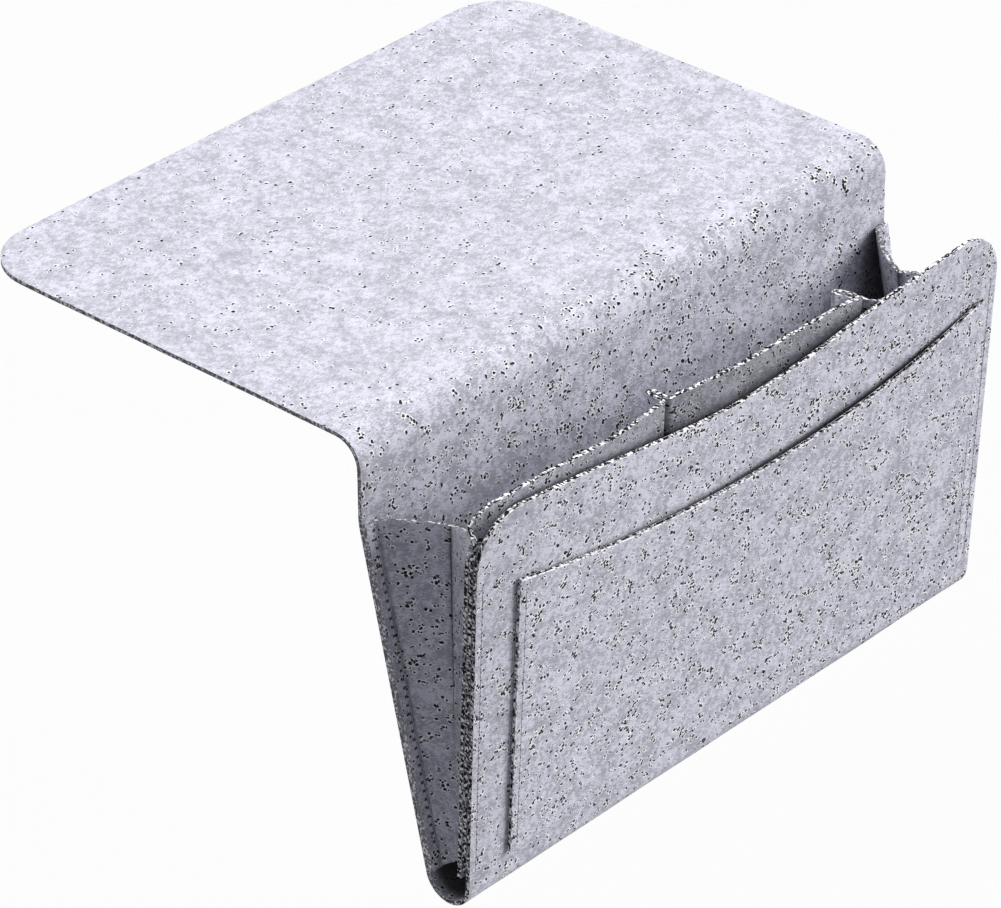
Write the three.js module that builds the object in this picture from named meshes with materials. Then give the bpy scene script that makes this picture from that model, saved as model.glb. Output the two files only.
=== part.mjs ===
// Bedside caddy of cut and sewn felt: a flap that goes under the mattress, an upright back and a deep
// front pocket with folded side gussets, pleated inner pockets and a flat outer pocket.
// Millimetres. +X across the caddy, +Y towards the bed, +Z up. The origin is the middle of the flat
// flap's underside, which is where the bed holds the caddy.
import * as THREE from 'three';

// Felt and sewing
const CADDY_WIDTH = 320;
const BOTTOM_NARROWING = 3.4;
const FELT = 2;
const LAYER_GAP = 0.3;
const THREAD_WIDTH = 0.9;
const THREAD_HEIGHT = 0.35;
const THREAD_GAP = 0.1;
const SEAM_INSET = 3.6;

// Main sheet: flap, shoulder, back, bottom and front in one run
const FLAP_DEPTH = 219;
const FLAP_CORNER_RADIUS = 30;
const SHOULDER_RADIUS = 13;
const TOTAL_HEIGHT = 199;
const LEAN_DROP = 37;
const LEAN_BEND_RADIUS = 25;
const BACK_LEAN_DEG = 11.6;
const BOTTOM_RADIUS = 11.8;
const FRONT_LEAN_DEG = 3;
const FRONT_DROP = 13.3;
const FRONT_DIP = 14.2;
const FRONT_CORNER_RADIUS = 22;
const DIP_NEAR_SHARE = 0.29;
const DIP_FAR_SHARE = 0.58;
const DIP_FAR_RISE = 0.7;

// Side gussets, sewn between the back and the front with their folds turned inwards
const GUSSET_BOTTOM = 15.5;
const GUSSET_FLANGE = 6;
const LEFT_FOLD_DEPTH = 18;
const RIGHT_FOLD_DEPTH = 25;
const FOLD_LEAST_DEPTH = 2.5;
const FOLD_TURN_SHARE = 0.22;
const FOLD_TIP_SHARE = 0.34;

// Inner pockets: one sheet behind the front, with two pinched pleats that part it in three
const INNER_DROP = 5.4;
const INNER_BOTTOM = 20;
const INNER_CORNER_RADIUS = 18;
const INNER_LEFT_RISE = 3.8;
const LEFT_RISE_START = 45;
const LEFT_RISE_REACH = 90;
const INNER_FLANGE = 8.5;
const INNER_RAMP = 14;
const INNER_STANDOFF = 7;
const INNER_HEM_STANDOFF = 1.2;
const LEFT_PLEAT_X = -35;
const RIGHT_PLEAT_X = 76;
const PLEAT_DEPTH = 9;
const PLEAT_LOOP = 0.8;
const PLEAT_FOOT_SHARE = 0.6;
const PLEAT_PULL = 4;
const PLEAT_PULL_REACH = 22;
const RIGHT_POCKET_DROP = 9;
const RIGHT_POCKET_EASE = 18;
const RIGHT_STANDOFF = 6;

// Outer pocket, sewn flat on the front a little to the right of the middle
const POCKET_LEFT_INSET = 23;
const POCKET_RIGHT_INSET = 9.5;
const POCKET_BOTTOM = 20.2;
const POCKET_CORNER_DROP = 33.7;
const POCKET_DIP = 15.4;
const POCKET_GAPE = 0.9;

// Looks and mesh steps
const FELT_COLOUR = 0xb9b9c4;
const THREAD_COLOUR = 0x8e8e99;
const FELT_ROUGHNESS = 0.95;
const THREAD_ROUGHNESS = 0.7;
const ARC_STEPS = 12;
const LEAN_BEND_STEPS = 4;
const GUSSET_ROWS = 8;
const FOLD_STEPS = 7;
const INNER_ROWS = 8;
const PULL_STEPS = 3;
const PULL_STEP_SHARE = 0.6;
const EASE_STEPS = 4;
const POCKET_COLUMNS = 20;
const POCKET_ROWS = 6;

// Places that follow from the sizes above, with the fold line of flap and back at y = 0, z = 0
const HALF_WIDTH = CADDY_WIDTH / 2;
const BOTTOM_WIDTH = CADDY_WIDTH - BOTTOM_NARROWING;
const FRONT_HEIGHT = TOTAL_HEIGHT - FRONT_DROP;
const GUSSET_TOP = TOTAL_HEIGHT - LEAN_DROP;
const INNER_TOP = FRONT_HEIGHT - INNER_DROP;
const POCKET_CORNER_HEIGHT = FRONT_HEIGHT - POCKET_CORNER_DROP;
const POCKET_LEFT = POCKET_LEFT_INSET - HALF_WIDTH;
const POCKET_RIGHT = HALF_WIDTH - POCKET_RIGHT_INSET;
const BACK_LEAN = THREE.MathUtils.degToRad(BACK_LEAN_DEG);
const FRONT_LEAN = THREE.MathUtils.degToRad(FRONT_LEAN_DEG);
const MOUNT_Y = (SHOULDER_RADIUS + FLAP_DEPTH) / 2;
const LEAN_BEND_START = LEAN_DROP - LEAN_BEND_RADIUS * Math.tan(BACK_LEAN / 2);
const LEAN_BEND_END = LEAN_BEND_START + LEAN_BEND_RADIUS * Math.sin(BACK_LEAN);
const BOTTOM_CENTRE_Z = BOTTOM_RADIUS - TOTAL_HEIGHT;
const BACK_TURN = (BOTTOM_CENTRE_Z + LEAN_DROP) * Math.sin(BACK_LEAN);
const BOTTOM_CENTRE_Y = (FELT - BOTTOM_RADIUS + BACK_TURN) / Math.cos(BACK_LEAN);
const FRONT_FOOT = BOTTOM_RADIUS * (1 - Math.sin(FRONT_LEAN));
const INNER_FLANGE_END = HALF_WIDTH - INNER_FLANGE;
const INNER_RAMP_END = INNER_FLANGE_END - INNER_RAMP;
const INNER_DEPTH = FELT + LAYER_GAP;
const FLANGE_DEPTH = INNER_DEPTH + FELT + LAYER_GAP;
const SEAM_TOP = GUSSET_TOP - SEAM_INSET;
const SEAM_BOTTOM = GUSSET_BOTTOM + SEAM_INSET;
const POCKET_FACE = LAYER_GAP + FELT;

/** Height above the caddy's lowest line turned into z below the fold line. */
const atHeight = (height) => height - TOTAL_HEIGHT;

/** Half of the caddy's width at a height: it narrows a little from the gussets' top to the bottom. */
function halfWidthAt(height) {
  const share = THREE.MathUtils.clamp(height / GUSSET_TOP, 0, 1);
  return THREE.MathUtils.lerp(BOTTOM_WIDTH / 2, HALF_WIDTH, share);
}

/** Front face of the back at a given z: upright, then a short bend, then leaning forward. */
function backFaceY(z) {
  const drop = -z;
  if (drop <= LEAN_BEND_START) {
    return 0;
  }
  if (drop >= LEAN_BEND_END) {
    return -(drop - LEAN_DROP) * Math.tan(BACK_LEAN);
  }
  const along = drop - LEAN_BEND_START;
  return Math.sqrt(LEAN_BEND_RADIUS ** 2 - along ** 2) - LEAN_BEND_RADIUS;
}

// Frame of the leaning front: x across, y up the sheet from its foot, z out of its front face
const FRONT_FRAME = new THREE.Matrix4().makeBasis(
  new THREE.Vector3(1, 0, 0),
  new THREE.Vector3(0, -Math.sin(FRONT_LEAN), Math.cos(FRONT_LEAN)),
  new THREE.Vector3(0, -Math.cos(FRONT_LEAN), -Math.sin(FRONT_LEAN)),
);
FRONT_FRAME.setPosition(
  0,
  BOTTOM_CENTRE_Y - BOTTOM_RADIUS * Math.cos(FRONT_LEAN),
  BOTTOM_CENTRE_Z - BOTTOM_RADIUS * Math.sin(FRONT_LEAN),
);

// Frame of the leaning back: x across, y up the sheet from its lean corner, z out of its front face
const BACK_FRAME = new THREE.Matrix4().makeBasis(
  new THREE.Vector3(1, 0, 0),
  new THREE.Vector3(0, Math.sin(BACK_LEAN), Math.cos(BACK_LEAN)),
  new THREE.Vector3(0, -Math.cos(BACK_LEAN), Math.sin(BACK_LEAN)),
);
BACK_FRAME.setPosition(0, 0, -LEAN_DROP);

/** Distance up the front sheet of a height above the lowest line. */
const upFront = (height) => (height - FRONT_FOOT) / Math.cos(FRONT_LEAN);

/** Distance up the back sheet, from its lean corner, of a height above the lowest line. */
const upBack = (height) => (atHeight(height) + LEAN_DROP) / Math.cos(BACK_LEAN);

/** Point behind the front's front face: x, height up the sheet and depth towards the back. */
const onFront = (x, up, depth) => new THREE.Vector3(x, up, -depth).applyMatrix4(FRONT_FRAME);

const caddy = new THREE.Group();
caddy.name = 'bedside_caddy';

/** Moves a shape to the caddy's origin and adds it as a named piece. */
function addPiece(name, geometry, colour, roughness) {
  geometry.translate(0, -MOUNT_Y, FELT);
  const material = new THREE.MeshStandardMaterial({ color: colour, roughness, metalness: 0 });
  const piece = new THREE.Mesh(geometry, material);
  piece.name = name;
  caddy.add(piece);
}

const addFelt = (name, geometry) => addPiece(name, geometry, FELT_COLOUR, FELT_ROUGHNESS);
const addThread = (name, geometry) => addPiece(name, geometry, THREAD_COLOUR, THREAD_ROUGHNESS);

/** Extrudes a flat outline by a given depth. */
function extrude(outline, depth) {
  return new THREE.ExtrudeGeometry(outline, { depth, bevelEnabled: false, curveSegments: ARC_STEPS });
}

/** Extrudes a profile drawn in y and z over a width, centred on the caddy's middle. */
function acrossCaddy(profile, width) {
  const geometry = extrude(profile, width);
  const turn = new THREE.Matrix4().set(0, 0, 1, -width / 2, 1, 0, 0, 0, 0, 1, 0, 0, 0, 0, 0, 1);
  return geometry.applyMatrix4(turn);
}

/** Cross-section of a bent strip of felt, by its centre, outer radius and two angles. */
function bendProfile(centreY, centreZ, outerRadius, startAngle, endAngle) {
  const profile = new THREE.Shape();
  profile.absarc(centreY, centreZ, outerRadius, startAngle, endAngle, true);
  profile.absarc(centreY, centreZ, outerRadius - FELT, endAngle, startAngle, false);
  profile.closePath();
  return profile;
}

/** Joins two matching grids of points, one for each face of a sheet, into one closed solid. */
function sheetSolid(columns, rows, faceA, faceB) {
  const positions = [];
  const triangles = [];
  const perFace = columns * rows;
  for (const face of [faceA, faceB]) {
    for (let row = 0; row < rows; row += 1) {
      for (let column = 0; column < columns; column += 1) {
        positions.push(...face(column, row).toArray());
      }
    }
  }
  const pointA = (column, row) => row * columns + column;
  const pointB = (column, row) => perFace + pointA(column, row);
  const quad = (a, b, c, d) => triangles.push(a, b, c, a, c, d);
  for (let row = 0; row + 1 < rows; row += 1) {
    for (let column = 0; column + 1 < columns; column += 1) {
      const right = column + 1;
      const above = row + 1;
      quad(pointA(column, row), pointA(right, row), pointA(right, above), pointA(column, above));
      quad(pointB(column, row), pointB(column, above), pointB(right, above), pointB(right, row));
    }
  }
  for (let column = 0; column + 1 < columns; column += 1) {
    const right = column + 1;
    const top = rows - 1;
    quad(pointA(right, 0), pointA(column, 0), pointB(column, 0), pointB(right, 0));
    quad(pointA(column, top), pointA(right, top), pointB(right, top), pointB(column, top));
  }
  for (let row = 0; row + 1 < rows; row += 1) {
    const above = row + 1;
    const last = columns - 1;
    quad(pointA(0, row), pointA(0, above), pointB(0, above), pointB(0, row));
    quad(pointA(last, above), pointA(last, row), pointB(last, row), pointB(last, above));
  }
  const geometry = new THREE.BufferGeometry();
  geometry.setAttribute('position', new THREE.Float32BufferAttribute(positions, 3));
  geometry.setIndex(triangles);
  geometry.computeVertexNormals();
  return geometry;
}

/** Main sheet: the flat flap with two rounded rear corners. */
function flapShape() {
  const near = SHOULDER_RADIUS + LAYER_GAP;
  const inside = HALF_WIDTH - FLAP_CORNER_RADIUS;
  const cornerY = FLAP_DEPTH - FLAP_CORNER_RADIUS;
  const outline = new THREE.Shape();
  outline.moveTo(-HALF_WIDTH, near);
  outline.lineTo(HALF_WIDTH, near);
  outline.absarc(inside, cornerY, FLAP_CORNER_RADIUS, 0, Math.PI / 2, false);
  outline.absarc(-inside, cornerY, FLAP_CORNER_RADIUS, Math.PI / 2, Math.PI, false);
  outline.closePath();
  const geometry = extrude(outline, FELT);
  return geometry.translate(0, 0, -FELT);
}

/** Main sheet: the back, upright below the shoulder and leaning forward further down. */
function backShape() {
  const rearward = new THREE.Vector2(Math.cos(BACK_LEAN), -Math.sin(BACK_LEAN));
  const bendCentre = new THREE.Vector2(-LEAN_BEND_RADIUS, -LEAN_BEND_START);
  const foot = new THREE.Vector2(BOTTOM_CENTRE_Y, BOTTOM_CENTRE_Z);
  foot.addScaledVector(rearward, BOTTOM_RADIUS - FELT);
  foot.add(new THREE.Vector2(Math.sin(BACK_LEAN), Math.cos(BACK_LEAN)).multiplyScalar(LAYER_GAP));
  const levels = [{ front: foot, rearward }];
  for (let step = 0; step <= LEAN_BEND_STEPS; step += 1) {
    const angle = BACK_LEAN * (1 - step / LEAN_BEND_STEPS);
    const outward = new THREE.Vector2(Math.cos(angle), -Math.sin(angle));
    levels.push({ front: bendCentre.clone().addScaledVector(outward, LEAN_BEND_RADIUS), rearward: outward });
  }
  levels.push({ front: new THREE.Vector2(0, -SHOULDER_RADIUS - LAYER_GAP), rearward: new THREE.Vector2(1, 0) });
  const face = (thickness) => (column, row) => {
    const level = levels[row];
    const point = level.front.clone().addScaledVector(level.rearward, thickness);
    const half = halfWidthAt(level.front.y + TOTAL_HEIGHT);
    return new THREE.Vector3(column === 0 ? -half : half, point.x, point.y);
  };
  return sheetSolid(2, levels.length, face(0), face(FELT));
}

/** Main sheet: the front, with rounded top corners and a dip between them. */
function frontShape() {
  const footHalf = halfWidthAt(FRONT_FOOT);
  const sideUp = upFront(GUSSET_TOP);
  const top = upFront(FRONT_HEIGHT);
  const low = upFront(FRONT_HEIGHT - FRONT_DIP);
  const run = HALF_WIDTH - FRONT_CORNER_RADIUS;
  const cornerUp = top - FRONT_CORNER_RADIUS;
  const nearRun = run * DIP_NEAR_SHARE;
  const farRun = run * DIP_FAR_SHARE;
  const farUp = low + (top - low) * DIP_FAR_RISE;
  const outline = new THREE.Shape();
  outline.moveTo(-footHalf, LAYER_GAP);
  outline.lineTo(footHalf, LAYER_GAP);
  outline.lineTo(HALF_WIDTH, sideUp);
  outline.absarc(run, cornerUp, FRONT_CORNER_RADIUS, 0, Math.PI / 2, false);
  outline.bezierCurveTo(farRun, farUp, nearRun, low, 0, low);
  outline.bezierCurveTo(-nearRun, low, -farRun, farUp, -run, top);
  outline.absarc(-run, cornerUp, FRONT_CORNER_RADIUS, Math.PI / 2, Math.PI, false);
  outline.lineTo(-HALF_WIDTH, sideUp);
  outline.closePath();
  const geometry = extrude(outline, FELT);
  return geometry.translate(0, 0, -FELT).applyMatrix4(FRONT_FRAME);
}

/** Middle line of a gusset across one level: flange, inward fold, flange, as points and tangents. */
function gussetLine(side, edgeX, span, foldDepth) {
  const bend = FELT / 2;
  const turnX = edgeX - GUSSET_FLANGE;
  const tipX = turnX - foldDepth;
  const middle = span / 2;
  const turn = foldDepth * FOLD_TURN_SHARE + bend;
  const tip = (middle - bend) * FOLD_TIP_SHARE;
  const at = (x, along) => new THREE.Vector2(side * x, along);
  const rearFold = new THREE.CubicBezierCurve(
    at(turnX, bend),
    at(turnX - turn, bend),
    at(tipX, middle - tip),
    at(tipX, middle),
  );
  const frontFold = new THREE.CubicBezierCurve(
    at(tipX, middle),
    at(tipX, middle + tip),
    at(turnX - turn, span - bend),
    at(turnX, span - bend),
  );
  const line = [{ point: at(edgeX, bend), tangent: at(-1, 0) }];
  for (let step = 0; step <= FOLD_STEPS; step += 1) {
    const share = step / FOLD_STEPS;
    line.push({ point: rearFold.getPoint(share), tangent: rearFold.getTangent(share) });
  }
  for (let step = 1; step <= FOLD_STEPS; step += 1) {
    const share = step / FOLD_STEPS;
    line.push({ point: frontFold.getPoint(share), tangent: frontFold.getTangent(share) });
  }
  line.push({ point: at(edgeX, span - bend), tangent: at(1, 0) });
  return line;
}

/** One gusset, bowed inwards between its two flanges and tapering down to the bottom bend. */
function gussetShape(side, topFoldDepth) {
  const levels = [];
  for (let row = 0; row < GUSSET_ROWS; row += 1) {
    const share = row / (GUSSET_ROWS - 1);
    const height = THREE.MathUtils.lerp(GUSSET_BOTTOM, GUSSET_TOP, share);
    const z = atHeight(height);
    const rear = new THREE.Vector3(0, backFaceY(z) - LAYER_GAP / Math.cos(BACK_LEAN), z);
    const front = onFront(0, upFront(height), FLANGE_DEPTH);
    const forward = new THREE.Vector3().subVectors(front, rear);
    const foldDepth = THREE.MathUtils.lerp(FOLD_LEAST_DEPTH, topFoldDepth, share);
    const line = gussetLine(side, halfWidthAt(height), forward.length(), foldDepth);
    levels.push({ rear, line, direction: forward.normalize() });
  }
  const face = (sign) => (column, row) => {
    const level = levels[row];
    const { point, tangent } = level.line[column];
    const x = point.x - sign * tangent.y * (FELT / 2);
    const along = point.y + sign * tangent.x * (FELT / 2);
    return level.rear.clone().addScaledVector(level.direction, along).setX(x);
  };
  return sheetSolid(levels[0].line.length, GUSSET_ROWS, face(1), face(-1));
}

/** Share of the inner sheet's standoff at a given x: none on the sewn flanges, then a ramp. */
function standoffShare(x) {
  return 1 - THREE.MathUtils.smoothstep(Math.abs(x), INNER_RAMP_END, INNER_FLANGE_END);
}

/** How far a place lies in the right inner pocket, whose edge sits lower and nearer the front. */
function rightPocketShare(x) {
  const pleatEnd = RIGHT_PLEAT_X + PLEAT_LOOP / 2 + FELT;
  return THREE.MathUtils.smoothstep(x, pleatEnd, pleatEnd + RIGHT_POCKET_EASE);
}

/** Top height of the inner sheet at a given x, rising to the left, with its rounded corners. */
function innerTop(x) {
  const leftShare = THREE.MathUtils.smoothstep(-x, LEFT_RISE_START, LEFT_RISE_START + LEFT_RISE_REACH);
  const edge = INNER_TOP + INNER_LEFT_RISE * leftShare - RIGHT_POCKET_DROP * rightPocketShare(x);
  const past = Math.abs(x) - (HALF_WIDTH - INNER_CORNER_RADIUS);
  if (past <= 0) {
    return edge;
  }
  const reach = Math.min(past, INNER_CORNER_RADIUS);
  return edge - INNER_CORNER_RADIUS + Math.sqrt(INNER_CORNER_RADIUS ** 2 - reach ** 2);
}

/** Distance of the inner sheet's front face behind the front's front face. */
function innerFaceDepth(x, height) {
  const rise = THREE.MathUtils.clamp((height - INNER_BOTTOM) / (INNER_TOP - INNER_BOTTOM), 0, 1);
  const away = (x - LEFT_PLEAT_X) / PLEAT_PULL_REACH;
  const evenStandoff = THREE.MathUtils.lerp(INNER_STANDOFF, RIGHT_STANDOFF, rightPocketShare(x));
  const fullStandoff = evenStandoff + PLEAT_PULL * Math.exp(-(away ** 2));
  const standoff = THREE.MathUtils.lerp(INNER_HEM_STANDOFF, fullStandoff, Math.sin(rise * Math.PI / 2));
  return INNER_DEPTH + standoff * standoffShare(x);
}

/** Stations of the inner sheet from left to right: place, each face's x and how far into a pleat. */
function innerStations() {
  const stations = [];
  const half = PLEAT_LOOP / 2;
  const edgeShares = [0, 0.05, 0.18, 0.36, 0.5, 0.7, 1];
  const flat = (x, edge) => stations.push({ x, frontX: x, rearX: x, edge, pleat: 0, loop: 0 });
  const pleat = (x) => {
    stations.push({ x, frontX: x - half, rearX: x - half - FELT, edge: 0, pleat: 0, loop: 0 });
    stations.push({ x, frontX: x - half, rearX: x - half - FELT, edge: 0, pleat: 1, loop: 0 });
    stations.push({ x, frontX: x, rearX: x, edge: 0, pleat: 1, loop: half });
    stations.push({ x, frontX: x + half, rearX: x + half + FELT, edge: 0, pleat: 1, loop: 0 });
    stations.push({ x, frontX: x + half, rearX: x + half + FELT, edge: 0, pleat: 0, loop: 0 });
  };
  edgeShares.forEach((share) => flat(-HALF_WIDTH + share * INNER_CORNER_RADIUS, -1));
  flat(-INNER_RAMP_END, 0);
  for (let step = PULL_STEPS; step > 0; step -= 1) {
    flat(LEFT_PLEAT_X - step * PLEAT_PULL_REACH * PULL_STEP_SHARE, 0);
  }
  pleat(LEFT_PLEAT_X);
  for (let step = 1; step <= PULL_STEPS; step += 1) {
    flat(LEFT_PLEAT_X + step * PLEAT_PULL_REACH * PULL_STEP_SHARE, 0);
  }
  pleat(RIGHT_PLEAT_X);
  for (let step = 1; step <= EASE_STEPS; step += 1) {
    flat(RIGHT_PLEAT_X + half + FELT + step * RIGHT_POCKET_EASE / EASE_STEPS, 0);
  }
  flat(INNER_RAMP_END, 0);
  edgeShares.reverse().forEach((share) => flat(HALF_WIDTH - share * INNER_CORNER_RADIUS, 1));
  return stations;
}

/** The inner pocket sheet with its flanges, ramps and pinched pleats. */
function innerShape() {
  const stations = innerStations();
  const face = (rear) => (column, row) => {
    const station = stations[column];
    const share = row / (INNER_ROWS - 1);
    const height = THREE.MathUtils.lerp(INNER_BOTTOM, innerTop(station.x), share);
    const pleatDepth = PLEAT_DEPTH * THREE.MathUtils.lerp(PLEAT_FOOT_SHARE, 1, share);
    const base = innerFaceDepth(station.x, height) + station.pleat * pleatDepth + station.loop;
    const x = rear ? station.rearX : station.frontX;
    const narrowing = station.edge * (HALF_WIDTH - halfWidthAt(height));
    return onFront(x - narrowing, upFront(height), rear ? base + FELT : base);
  };
  return sheetSolid(stations.length, INNER_ROWS, face(false), face(true));
}

/** The outer pocket: square corners, a dipped mouth that stands a little off the front. */
function pocketShape() {
  const middle = (POCKET_LEFT + POCKET_RIGHT) / 2;
  const reach = (POCKET_RIGHT - POCKET_LEFT) / 2;
  const face = (outward) => (column, row) => {
    const across = column / (POCKET_COLUMNS - 1);
    const share = row / (POCKET_ROWS - 1);
    const x = THREE.MathUtils.lerp(POCKET_LEFT, POCKET_RIGHT, across);
    const mouth = POCKET_CORNER_HEIGHT - POCKET_DIP * (1 - ((x - middle) / reach) ** 2);
    const height = THREE.MathUtils.lerp(POCKET_BOTTOM, mouth, share);
    const gape = POCKET_GAPE * Math.sin(across * Math.PI) * share ** 2;
    return onFront(x, upFront(height), -(LAYER_GAP + gape + outward * FELT));
  };
  return sheetSolid(POCKET_COLUMNS, POCKET_ROWS, face(1), face(0));
}

/** A straight run of thread on a sheet, between two points given as x and distance up the sheet. */
function threadRun(from, to, outOfFace, frame) {
  const along = new THREE.Vector2().subVectors(to, from).normalize();
  const aside = new THREE.Vector2(along.y, -along.x).multiplyScalar(THREAD_WIDTH / 2);
  const outline = new THREE.Shape([
    from.clone().sub(aside),
    from.clone().add(aside),
    to.clone().add(aside),
    to.clone().sub(aside),
  ]);
  return extrude(outline, THREAD_HEIGHT).translate(0, 0, outOfFace).applyMatrix4(frame);
}

/** The four thread runs of one side: outside and inside of the back seam and of the front seam. */
function addSideSeams(sideName, side) {
  const seamX = (height) => side * (halfWidthAt(height) - SEAM_INSET);
  const seamEnd = (height, up) => new THREE.Vector2(seamX(height), up(height));
  const backRun = [seamEnd(SEAM_BOTTOM, upBack), seamEnd(SEAM_TOP, upBack)];
  const frontRun = [seamEnd(SEAM_BOTTOM, upFront), seamEnd(SEAM_TOP, upFront)];
  const backOuter = -FELT - THREAD_GAP - THREAD_HEIGHT;
  const backInner = LAYER_GAP + FELT + THREAD_GAP;
  const frontInner = -FLANGE_DEPTH - FELT - THREAD_GAP - THREAD_HEIGHT;
  addThread(`${sideName}_back_seam_outer_thread`, threadRun(...backRun, backOuter, BACK_FRAME));
  addThread(`${sideName}_back_seam_inner_thread`, threadRun(...backRun, backInner, BACK_FRAME));
  addThread(`${sideName}_front_seam_outer_thread`, threadRun(...frontRun, THREAD_GAP, FRONT_FRAME));
  addThread(`${sideName}_front_seam_inner_thread`, threadRun(...frontRun, frontInner, FRONT_FRAME));
}

/** The thread that runs down, along and up the outer pocket's edge, on its face. */
function pocketThreadShape() {
  const half = THREAD_WIDTH / 2;
  const left = POCKET_LEFT + SEAM_INSET;
  const right = POCKET_RIGHT - SEAM_INSET;
  const low = upFront(POCKET_BOTTOM + SEAM_INSET);
  const top = upFront(POCKET_CORNER_HEIGHT - SEAM_INSET);
  const outline = new THREE.Shape();
  outline.moveTo(left - half, top);
  outline.lineTo(left - half, low - half);
  outline.lineTo(right + half, low - half);
  outline.lineTo(right + half, top);
  outline.lineTo(right - half, top);
  outline.lineTo(right - half, low + half);
  outline.lineTo(left + half, low + half);
  outline.lineTo(left + half, top);
  outline.closePath();
  const geometry = extrude(outline, THREAD_HEIGHT);
  return geometry.translate(0, 0, POCKET_FACE + THREAD_GAP).applyMatrix4(FRONT_FRAME);
}

/** The same seam's thread on the far side of the front, up one side of the outer pocket. */
function pocketReverseThread(x) {
  const from = new THREE.Vector2(x, upFront(POCKET_BOTTOM + 2 * SEAM_INSET));
  const to = new THREE.Vector2(x, upFront(POCKET_CORNER_HEIGHT - SEAM_INSET));
  return threadRun(from, to, -FELT - THREAD_GAP - THREAD_HEIGHT, FRONT_FRAME);
}

/** The bottom seam's thread behind the inner sheet, between two places across. */
function hemThread(fromX, toX) {
  const height = POCKET_BOTTOM + SEAM_INSET;
  const from = new THREE.Vector2(fromX, upFront(height));
  const to = new THREE.Vector2(toX, upFront(height));
  const pulledX = THREE.MathUtils.clamp(LEFT_PLEAT_X, fromX, toX);
  const depth = innerFaceDepth(pulledX, height + THREAD_WIDTH) + FELT + THREAD_GAP;
  return threadRun(from, to, -depth - THREAD_HEIGHT, FRONT_FRAME);
}

const shoulder = bendProfile(SHOULDER_RADIUS, -SHOULDER_RADIUS, SHOULDER_RADIUS, Math.PI, Math.PI / 2);
const bottom = bendProfile(BOTTOM_CENTRE_Y, BOTTOM_CENTRE_Z, BOTTOM_RADIUS, -BACK_LEAN, FRONT_LEAN - Math.PI);
addFelt('flap', flapShape());
addFelt('shoulder_bend', acrossCaddy(shoulder, CADDY_WIDTH));
addFelt('back_panel', backShape());
addFelt('bottom_bend', acrossCaddy(bottom, BOTTOM_WIDTH));
addFelt('front_panel', frontShape());
addFelt('left_gusset', gussetShape(-1, LEFT_FOLD_DEPTH));
addFelt('right_gusset', gussetShape(1, RIGHT_FOLD_DEPTH));
addFelt('inner_pocket', innerShape());
addFelt('outer_pocket', pocketShape());

const pleatHalf = PLEAT_LOOP / 2 + FELT + LAYER_GAP;
addSideSeams('left', -1);
addSideSeams('right', 1);
addThread('pocket_seam_thread', pocketThreadShape());
addThread('pocket_left_reverse_thread', pocketReverseThread(POCKET_LEFT + SEAM_INSET));
addThread('pocket_right_reverse_thread', pocketReverseThread(POCKET_RIGHT - SEAM_INSET));
addThread('hem_left_thread', hemThread(-INNER_RAMP_END, LEFT_PLEAT_X - pleatHalf));
addThread('hem_middle_thread', hemThread(LEFT_PLEAT_X + pleatHalf, RIGHT_PLEAT_X - pleatHalf));
addThread('hem_right_thread', hemThread(RIGHT_PLEAT_X + pleatHalf, INNER_RAMP_END));

const fromOrigin = (y, z) => [0, y - MOUNT_Y, z + FELT].map((value) => Number(value.toFixed(3)));
console.log('shoulder axis', fromOrigin(SHOULDER_RADIUS, -SHOULDER_RADIUS));
console.log('bottom axis', fromOrigin(BOTTOM_CENTRE_Y, BOTTOM_CENTRE_Z));

export default caddy;
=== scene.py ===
"""Dresses the felt bedside caddy: cut and folded felt sheets, sewn seams, studio light and camera."""

import logging
import math
from dataclasses import dataclass, field
from enum import Enum

import bmesh
import bpy
import numpy as np
from mathutils import Matrix, Vector


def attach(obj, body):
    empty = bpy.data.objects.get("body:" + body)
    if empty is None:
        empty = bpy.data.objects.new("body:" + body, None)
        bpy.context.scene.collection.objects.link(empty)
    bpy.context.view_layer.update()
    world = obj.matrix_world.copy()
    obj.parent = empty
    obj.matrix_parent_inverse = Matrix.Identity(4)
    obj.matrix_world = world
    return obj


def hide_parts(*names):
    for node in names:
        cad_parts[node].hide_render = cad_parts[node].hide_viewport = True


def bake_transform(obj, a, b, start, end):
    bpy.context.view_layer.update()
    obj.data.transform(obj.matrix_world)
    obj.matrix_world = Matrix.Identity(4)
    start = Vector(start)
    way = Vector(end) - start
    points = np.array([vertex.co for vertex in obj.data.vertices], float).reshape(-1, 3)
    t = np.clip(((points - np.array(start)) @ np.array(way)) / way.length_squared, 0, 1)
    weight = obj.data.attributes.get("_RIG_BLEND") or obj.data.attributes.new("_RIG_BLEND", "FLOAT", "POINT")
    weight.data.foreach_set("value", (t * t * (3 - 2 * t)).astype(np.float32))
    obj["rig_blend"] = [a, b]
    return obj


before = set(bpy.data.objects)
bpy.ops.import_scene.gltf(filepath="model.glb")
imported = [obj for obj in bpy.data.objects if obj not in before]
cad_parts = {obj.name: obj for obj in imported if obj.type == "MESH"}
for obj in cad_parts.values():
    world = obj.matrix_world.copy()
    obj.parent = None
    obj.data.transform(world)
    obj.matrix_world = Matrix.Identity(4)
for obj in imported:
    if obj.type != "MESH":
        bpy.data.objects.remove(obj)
log = logging.getLogger("caddy")

MM = 0.001
TINY = 1e-9

Colour = tuple[float, float, float, float]


class Body(Enum):
    """The bodies that the pieces ride on."""

    FLAP = "flap"
    BACK = "back"
    FRONT = "front"


class Side(Enum):
    """Left and right, as seen from the front, with the sign of X."""

    LEFT = -1
    RIGHT = 1

    @property
    def word(self) -> str:
        """The side's name in small letters."""
        return self.name.lower()


class Slot(Enum):
    """The record's material slots."""

    FELT = "felt"
    THREAD = "thread"


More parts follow.
